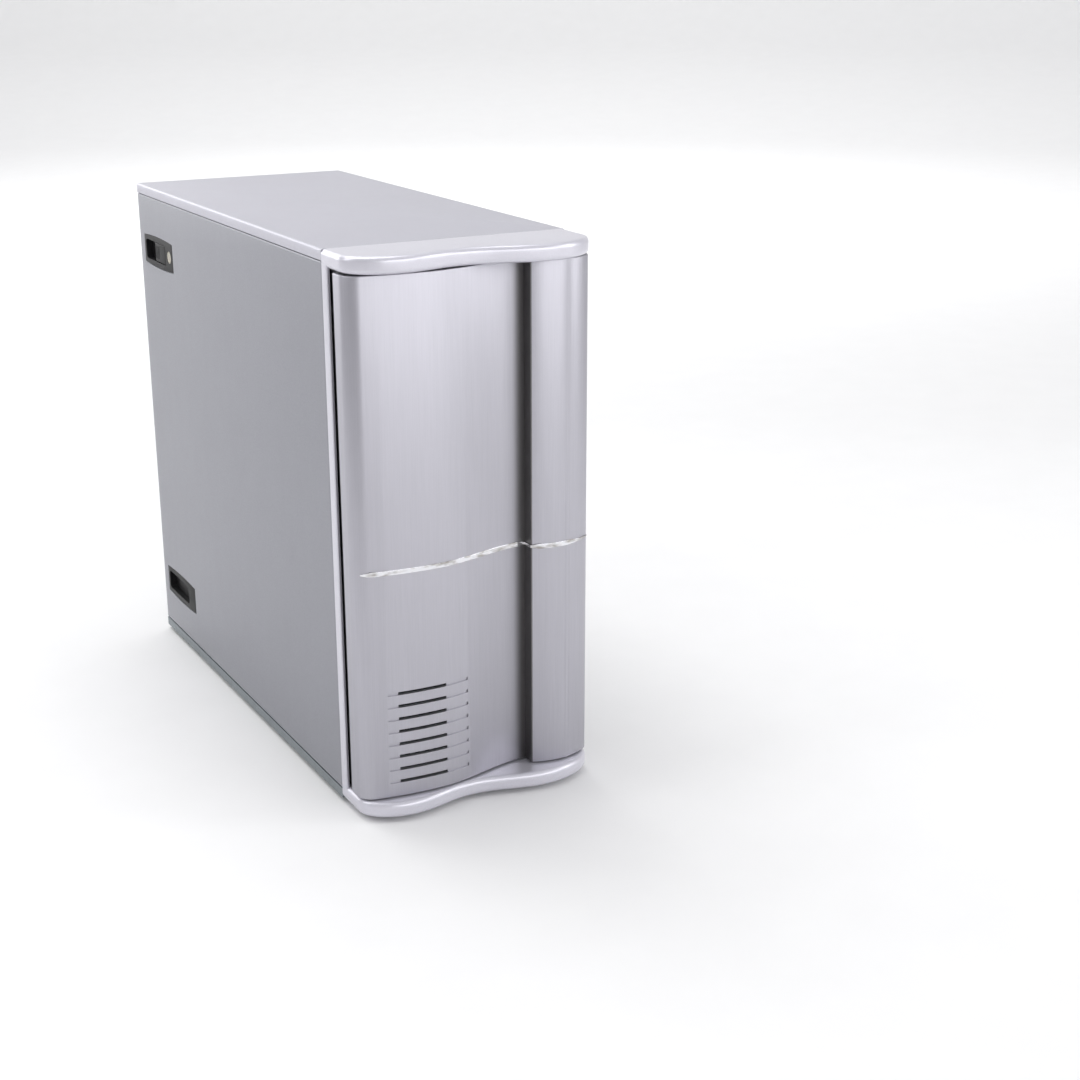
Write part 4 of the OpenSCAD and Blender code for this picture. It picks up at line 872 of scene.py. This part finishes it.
for side, name in ((-1, "left"), (1, "right")):
    ribs = [(143, 218, 3.6)] + ([(230, 296, 3.6)] if side > 0 else [])
    bars = []
    for z0, z1, wide in ribs:
        x = side * (half - 5 * mm)
        bars.append(swage(x - wide / 2 * mm, x + wide / 2 * mm, base_z + z0 * mm, base_z + z1 * mm,
                          0.7 * mm, y=back))
    rib_set = finished(together(bars, f"{name}_flange_ribs") if len(bars) > 1 else bars[0], edge=0,
                       smooth=40)
    piece(rib_set, f"{name}_panel", "panel_silver")
    # The ribs take the panels' darker copy of the silver, which is painted shade.
    shaded_panel_paint.on(rib_set)

# ------------------------------------------------------------------ Power supply
# A satin nickel box with its finger guard stamped in the rear face, a black mains inlet, a
# red voltage switch and a bundle of leads.
supply_metal = galvanised("psu_steel", (0.47, 0.48, 0.485), rough=0.34)
supply_metal.on(dressed("psu_case", "case", "psu_steel", 0.25 * mm))
inlet_black = moulded("inlet_black", (0.015, 0.015, 0.016), rough=0.32, grain=0.4 * mm)
inlet_black.on(dressed("power_inlet", "case", "inlet_black", 0.35 * mm))
switch_red = moulded("switch_red", (0.5, 0.02, 0.025), rough=0.35, grain=0.3 * mm)
switch_red.on(dressed("voltage_switch", "case", "switch_red", 0.25 * mm))
slider_red = moulded("slider_red", (0.72, 0.05, 0.05), rough=0.3, grain=0.3 * mm)
slider_red.on(dressed("voltage_slider", "voltage_key", "slider_red", 0.2 * mm))
lead_paint = Paint("cable_yellow", coat_weight=0.2)
strand = lead_paint.noise(3 * mm, (1, 1, 0.03), detail=1)
hues = [(0.0, (0.02, 0.02, 0.02)), (0.42, (0.02, 0.02, 0.02)), (0.5, (0.75, 0.55, 0.05)),
        (0.6, (0.6, 0.04, 0.03))]
lead_paint.put(base_color=lead_paint.node("ShaderNodeValToRGB", {0: strand}, stops=hues))
lead_paint.put(roughness=0.35 + strand * 0.15)
lead_paint.put(normal=lead_paint.bump(strand, 1.2 * mm, 0.8))
lead_paint.on(dressed("psu_cables", "case", "cable_yellow", 0, smooth=50))

# ------------------------------------------------------------------ Fans
# Four moulded fans: a clear one behind the rear grille, black ones at the front, in the power
# supply and on the cooler. Each rotor turns on its frame's hub.
clear_plastic = Paint("fan_clear", ior=1.45, transmission_weight=0.35)
clear_flow = clear_plastic.noise(12 * mm, detail=3)
clear_plastic.put(base_color=clear_plastic.blend(clear_flow, (0.72, 0.77, 0.82), (0.86, 0.89, 0.92)))
clear_plastic.put(roughness=0.22 + clear_flow * 0.12)
black_fan = moulded("fan_black", (0.022, 0.022, 0.024), rough=0.38, grain=0.5 * mm)
for node, body, slot, paint in (("exhaust_fan_frame", "case", "fan_clear", clear_plastic),
                                ("exhaust_fan_rotor", "exhaust_rotor", "fan_clear", clear_plastic),
                                ("intake_fan_frame", "case", "fan_black", black_fan),
                                ("intake_fan_rotor", "intake_rotor", "fan_black", black_fan),
                                ("psu_fan_rotor", "psu_rotor", "fan_black", black_fan),
                                ("cpu_fan_frame", "case", "fan_black", black_fan),
                                ("cpu_fan_rotor", "cpu_rotor", "fan_black", black_fan)):
    paint.on(dressed(node, body, slot, 0.35 * mm))

# ------------------------------------------------------------------ Board
# A green circuit board with ivory sockets, two memory sticks and a finned aluminium cooler.
board_paint = Paint("board_green", coat_weight=0.4, coat_roughness=0.2)
bricks = {"Vector": board_paint.place(), "Scale": 90.0, "Mortar Size": 0.03,
          "Color1": (0.0, 0.0, 0.0), "Color2": (0.4, 0.4, 0.4), "Mortar": (1, 1, 1)}
tracks = board_paint.node("ShaderNodeTexBrick", bricks, out=1)
mottle = board_paint.noise(3 * mm, detail=4)
board_paint.put(base_color=board_paint.blend(tracks * 0.7 + mottle * 0.3, (0.015, 0.09, 0.045),
                                             (0.05, 0.2, 0.1)))
board_paint.put(roughness=0.35 + mottle * 0.2)
board_paint.put(normal=board_paint.bump(tracks, 0.05 * mm))
board_paint.on(dressed("motherboard", "case", "board_green", 0.15 * mm))
ivory = moulded("socket_ivory", (0.68, 0.64, 0.52), rough=0.42)
ivory.on(dressed("expansion_sockets", "case", "socket_ivory", 0.4 * mm))
memory_paint = Paint("memory_green", coat_weight=0.3)
across = memory_paint.node("ShaderNodeSeparateXYZ", {0: memory_paint.place((1 / (11 * mm),) * 3)}, out=2)
chip = memory_paint.node("ShaderNodeMath", {0: across}, operation="FRACT") > 0.25
grime = memory_paint.noise(4 * mm)
memory_paint.put(base_color=memory_paint.blend(chip, (0.02, 0.12, 0.05), (0.02, 0.02, 0.022)))
memory_paint.put(roughness=0.35 + grime * 0.2)
memory_paint.on(dressed("memory_modules", "case", "memory_green", 0.2 * mm))
cooler_metal = brushed("heatsink_aluminium", (0.66, 0.67, 0.69), (1, 0.3, 1), rough=0.35)
cooler_metal.on(dressed("cpu_heatsink", "case", "heatsink_aluminium", 0.15 * mm))

# ------------------------------------------------------------------ Connectors
# The board's sockets at the rear: two round ones, three D-shaped ones with coloured inserts,
# four flat pairs, a network socket and three jacks, in a stamped nickel plate.
nickel_tin = galvanised("port_shell", (0.62, 0.63, 0.64), rough=0.26)
plate_metal = galvanised("shield_steel", (0.66, 0.67, 0.67), rough=0.32)
plate_metal.on(dressed("io_shield", "case", "shield_steel", 0.1 * mm))
nickel_tin.on(dressed("usb_network_ports", "case", "port_shell", 0.3 * mm))


def banded(name, edges, colours):
    """Plastic whose colour changes at places across the tower."""
    p = Paint(name, coat_weight=0.1)
    x = p.across(0)
    tint = p.blend(x > edges[0], colours[0], colours[1])
    for edge, colour in zip(edges[1:], colours[2:]):
        tint = p.blend(x > edge, tint, colour)
    speck = p.noise(mm, detail=3)
    p.put(base_color=p.blend(speck * 0.3, tint, (0.05, 0.05, 0.05)))
    p.put(roughness=0.35 + speck * 0.1)
    p.put(normal=p.bump(speck, 0.02 * mm, 0.5))
    return p


ps2_low, ps2_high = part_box("ps2_ports")
ps2_middle = (ps2_low.x + ps2_high.x) / 2
ps2_colours = banded("port_green_purple", [ps2_middle], [(0.17, 0.1, 0.34), (0.02, 0.33, 0.2)])
ps2_colours.on(dressed("ps2_ports", "case", "port_green_purple", 0.3 * mm))
jack_low, jack_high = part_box("audio_jacks")
third = (jack_high.x - jack_low.x) / 3
jack_colours = banded("jack_colours", [jack_low.x + third, jack_high.x - third],
                      [(0.75, 0.25, 0.3), (0.2, 0.55, 0.15), (0.1, 0.3, 0.7)])
jack_colours.on(dressed("audio_jacks", "case", "jack_colours", 0.25 * mm))
port_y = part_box("parallel_port")[1].y
for node, slot, colour, rows in (("parallel_port", "port_magenta", (0.42, 0.03, 0.22), (13, 12)),
                                 ("serial_port", "port_teal", (0.02, 0.3, 0.33), (5, 4)),
                                 ("video_port", "port_blue", (0.03, 0.1, 0.48), (5, 5, 5))):
    low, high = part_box(node)
    nickel_tin.on(dressed(node, "case", "port_shell", 0.2 * mm))
    x = (low.x + high.x) / 2
    z = (low.z + high.z) / 2
    length = high.z - low.z - 10 * mm - 1.8 * mm
    y = (port_y - 5.2 * mm, port_y - 1.6 * mm)
    insert = box("insert", (x - 3.3 * mm, y[0], z - length / 2), (x + 3.3 * mm, y[1], z + length / 2))
    for v in insert.data.vertices:
        if v.co.x < x:
            v.co.z -= math.copysign(mm, v.co.z - z)
    gap = 2.76 * mm if len(rows) == 2 else 2.3 * mm
    pin_holes = []
    for r, count in enumerate(rows):
        for k in range(count):
            hx = x + (len(rows) / 2 - 0.5 - r) * 2.5 * mm * (0.9 if len(rows) == 3 else 1)
            pin_holes.append(cylinder("pin", (hx, y[1] - mm, z + (k - (count - 1) / 2) * gap),
                                      0.55 * mm, 2 * mm, sides=10))
    boolean(insert, pin_holes)
    finished(insert, edge=0.2 * mm)
    piece(insert, "case", slot)
    moulded(slot, colour, rough=0.35, grain=0.3 * mm).on(insert)

# ------------------------------------------------------------------ Slot covers
# Seven pressed blanking plates, each with a pair of long swages and a tab that its screw holds.
blanks = cad_copy("slot_covers", "slot_cover_sheets")
slot_step = 20.32 * mm
slot_first = slots_low.z + 9.2 * mm
tabs = []
for k in range(7):
    z = slot_first + k * slot_step
    tab = swage(slots_low.x + 1.5 * mm, slots_low.x + 8.5 * mm, z - 5.5 * mm, z + 5.5 * mm,
                height=mm, corner=1.2 * mm, y=panel_y - 0.9 * mm)
    boolean(tab, [cylinder("hole", (slots_low.x + 5 * mm, panel_y - 3 * mm, z), 1.7 * mm, 8 * mm, sides=20)])
    tabs.append(tab)
    tabs.append(swage(slots_high.x - 7 * mm, slots_high.x - 3.4 * mm, z - 1.8 * mm, z + 1.8 * mm,
                      height=0.8 * mm, y=panel_y - 0.9 * mm))
tab_set = finished(together(tabs, "slot_cover_tabs"), edge=0.1 * mm, segments=1)
piece(tab_set, "case", "slot_steel")
finished(blanks, edge=0.35 * mm)
piece(blanks, "case", "slot_steel", "slot_covers")
slot_metal = galvanised("slot_steel", (0.36, 0.385, 0.385), rough=0.33, streak=(0.3, 1, 1))
slot_metal.on(blanks, tab_set)

# ------------------------------------------------------------------ Fasteners
# Pan-head machine screws with a crossed recess, and domed rivets with a sunk mandrel, all
# zinc-plated.
screw_zinc = galvanised("fastener_zinc", (0.5, 0.5, 0.49), rough=0.3)
head_r, head_h = 3.4 * mm, 2 * mm


def screw_head(x, y, z, turn):
    """One domed head on the sheet at y, its cross turned by an angle."""
    head = cylinder("head", (x, y, z), head_r, head_h, sides=28)
    rounded(head, both(lambda c: c.y > y + head_h - 0.01 * mm), 1.1 * mm, 4)
    bars = []
    for a in (0, 90):
        bar = box("bar", (-1.9 * mm, -1.3 * mm, -0.35 * mm), (1.9 * mm, 1.3 * mm, 0.35 * mm))
        bar.data.transform(Matrix.Translation((x, y + head_h, z))
                           @ Matrix.Rotation(math.radians(a + turn), 4, "Y"))
        bars.append(bar)
    boolean(head, bars)
    return head


def loose_parts(node):
    """The middle and back of each separate solid of a node, by its mesh islands."""
    mesh = bmesh.new()
    mesh.from_mesh(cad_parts[node].data)
    bmesh.ops.remove_doubles(mesh, verts=mesh.verts, dist=0.002 * mm)
    left, found = set(mesh.verts), []
    while left:
        island, edge = set(), [left.pop()]
        while edge:
            v = edge.pop()
            island.add(v)
            for e in v.link_edges:
                w = e.other_vert(v)
                if w in left:
                    left.discard(w)
                    edge.append(w)
        co = [v.co for v in island]
        low = Vector([min(c[i] for c in co) for i in range(3)])
        high = Vector([max(c[i] for c in co) for i in range(3)])
        found.append((low, high))
    mesh.free()
    return sorted(found, key=lambda b: (round(b[0].x, 4), round(b[0].z, 4)))


for node, body in (("screws", "case"), ("left_panel_screws", "left_panel"),
                   ("right_panel_screws", "right_panel")):
    heads = [screw_head((low.x + high.x) / 2, high.y - head_h, (low.z + high.z) / 2, 25 * k)
             for k, (low, high) in enumerate(loose_parts(node))]
    for low, high in loose_parts(node):
        if high.y - low.y > head_h + mm:
            shank = cylinder("shank", ((low.x + high.x) / 2, low.y, (low.z + high.z) / 2), 1.5 * mm,
                             high.y - low.y - 1.5 * mm, sides=16)
            heads.append(shank)
    head_set = finished(together(heads, f"{node}_piece"), edge=0.08 * mm, segments=1)
    piece(head_set, body, "fastener_zinc", node)
    screw_zinc.on(head_set)
domes = []
for low, high in loose_parts("rivets"):
    x, z = (low.x + high.x) / 2, (low.z + high.z) / 2
    dome = cylinder("dome", (x, panel_y - 0.5 * mm, z), 2.95 * mm, high.y - panel_y + 0.5 * mm, sides=24)
    rounded(dome, both(lambda c: c.y > high.y - 0.01 * mm), 0.9 * mm, 4)
    boolean(dome, [cylinder("mandrel", (x, high.y - 0.5 * mm, z), 0.9 * mm, 2 * mm, sides=16)])
    domes.append(dome)
    domes.append(cylinder("tail", (x, low.y, z), 1.75 * mm, panel_y - low.y, sides=16))
rivets = finished(together(domes, "rivet_domes"), edge=0.05 * mm, segments=1)
piece(rivets, "case", "rivet_zinc", "rivets")
galvanised("rivet_zinc", (0.42, 0.44, 0.45), rough=0.32).on(rivets)

# ------------------------------------------------------------------ Paper floor
# Warm white paper, a little mottled.
paper = Paint("paper", roughness=0.9)
fibre = paper.noise(60 * mm, detail=3)
paper.put(base_color=paper.blend(fibre, (0.84, 0.84, 0.84), (0.87, 0.87, 0.87)))
paper.on(floor)
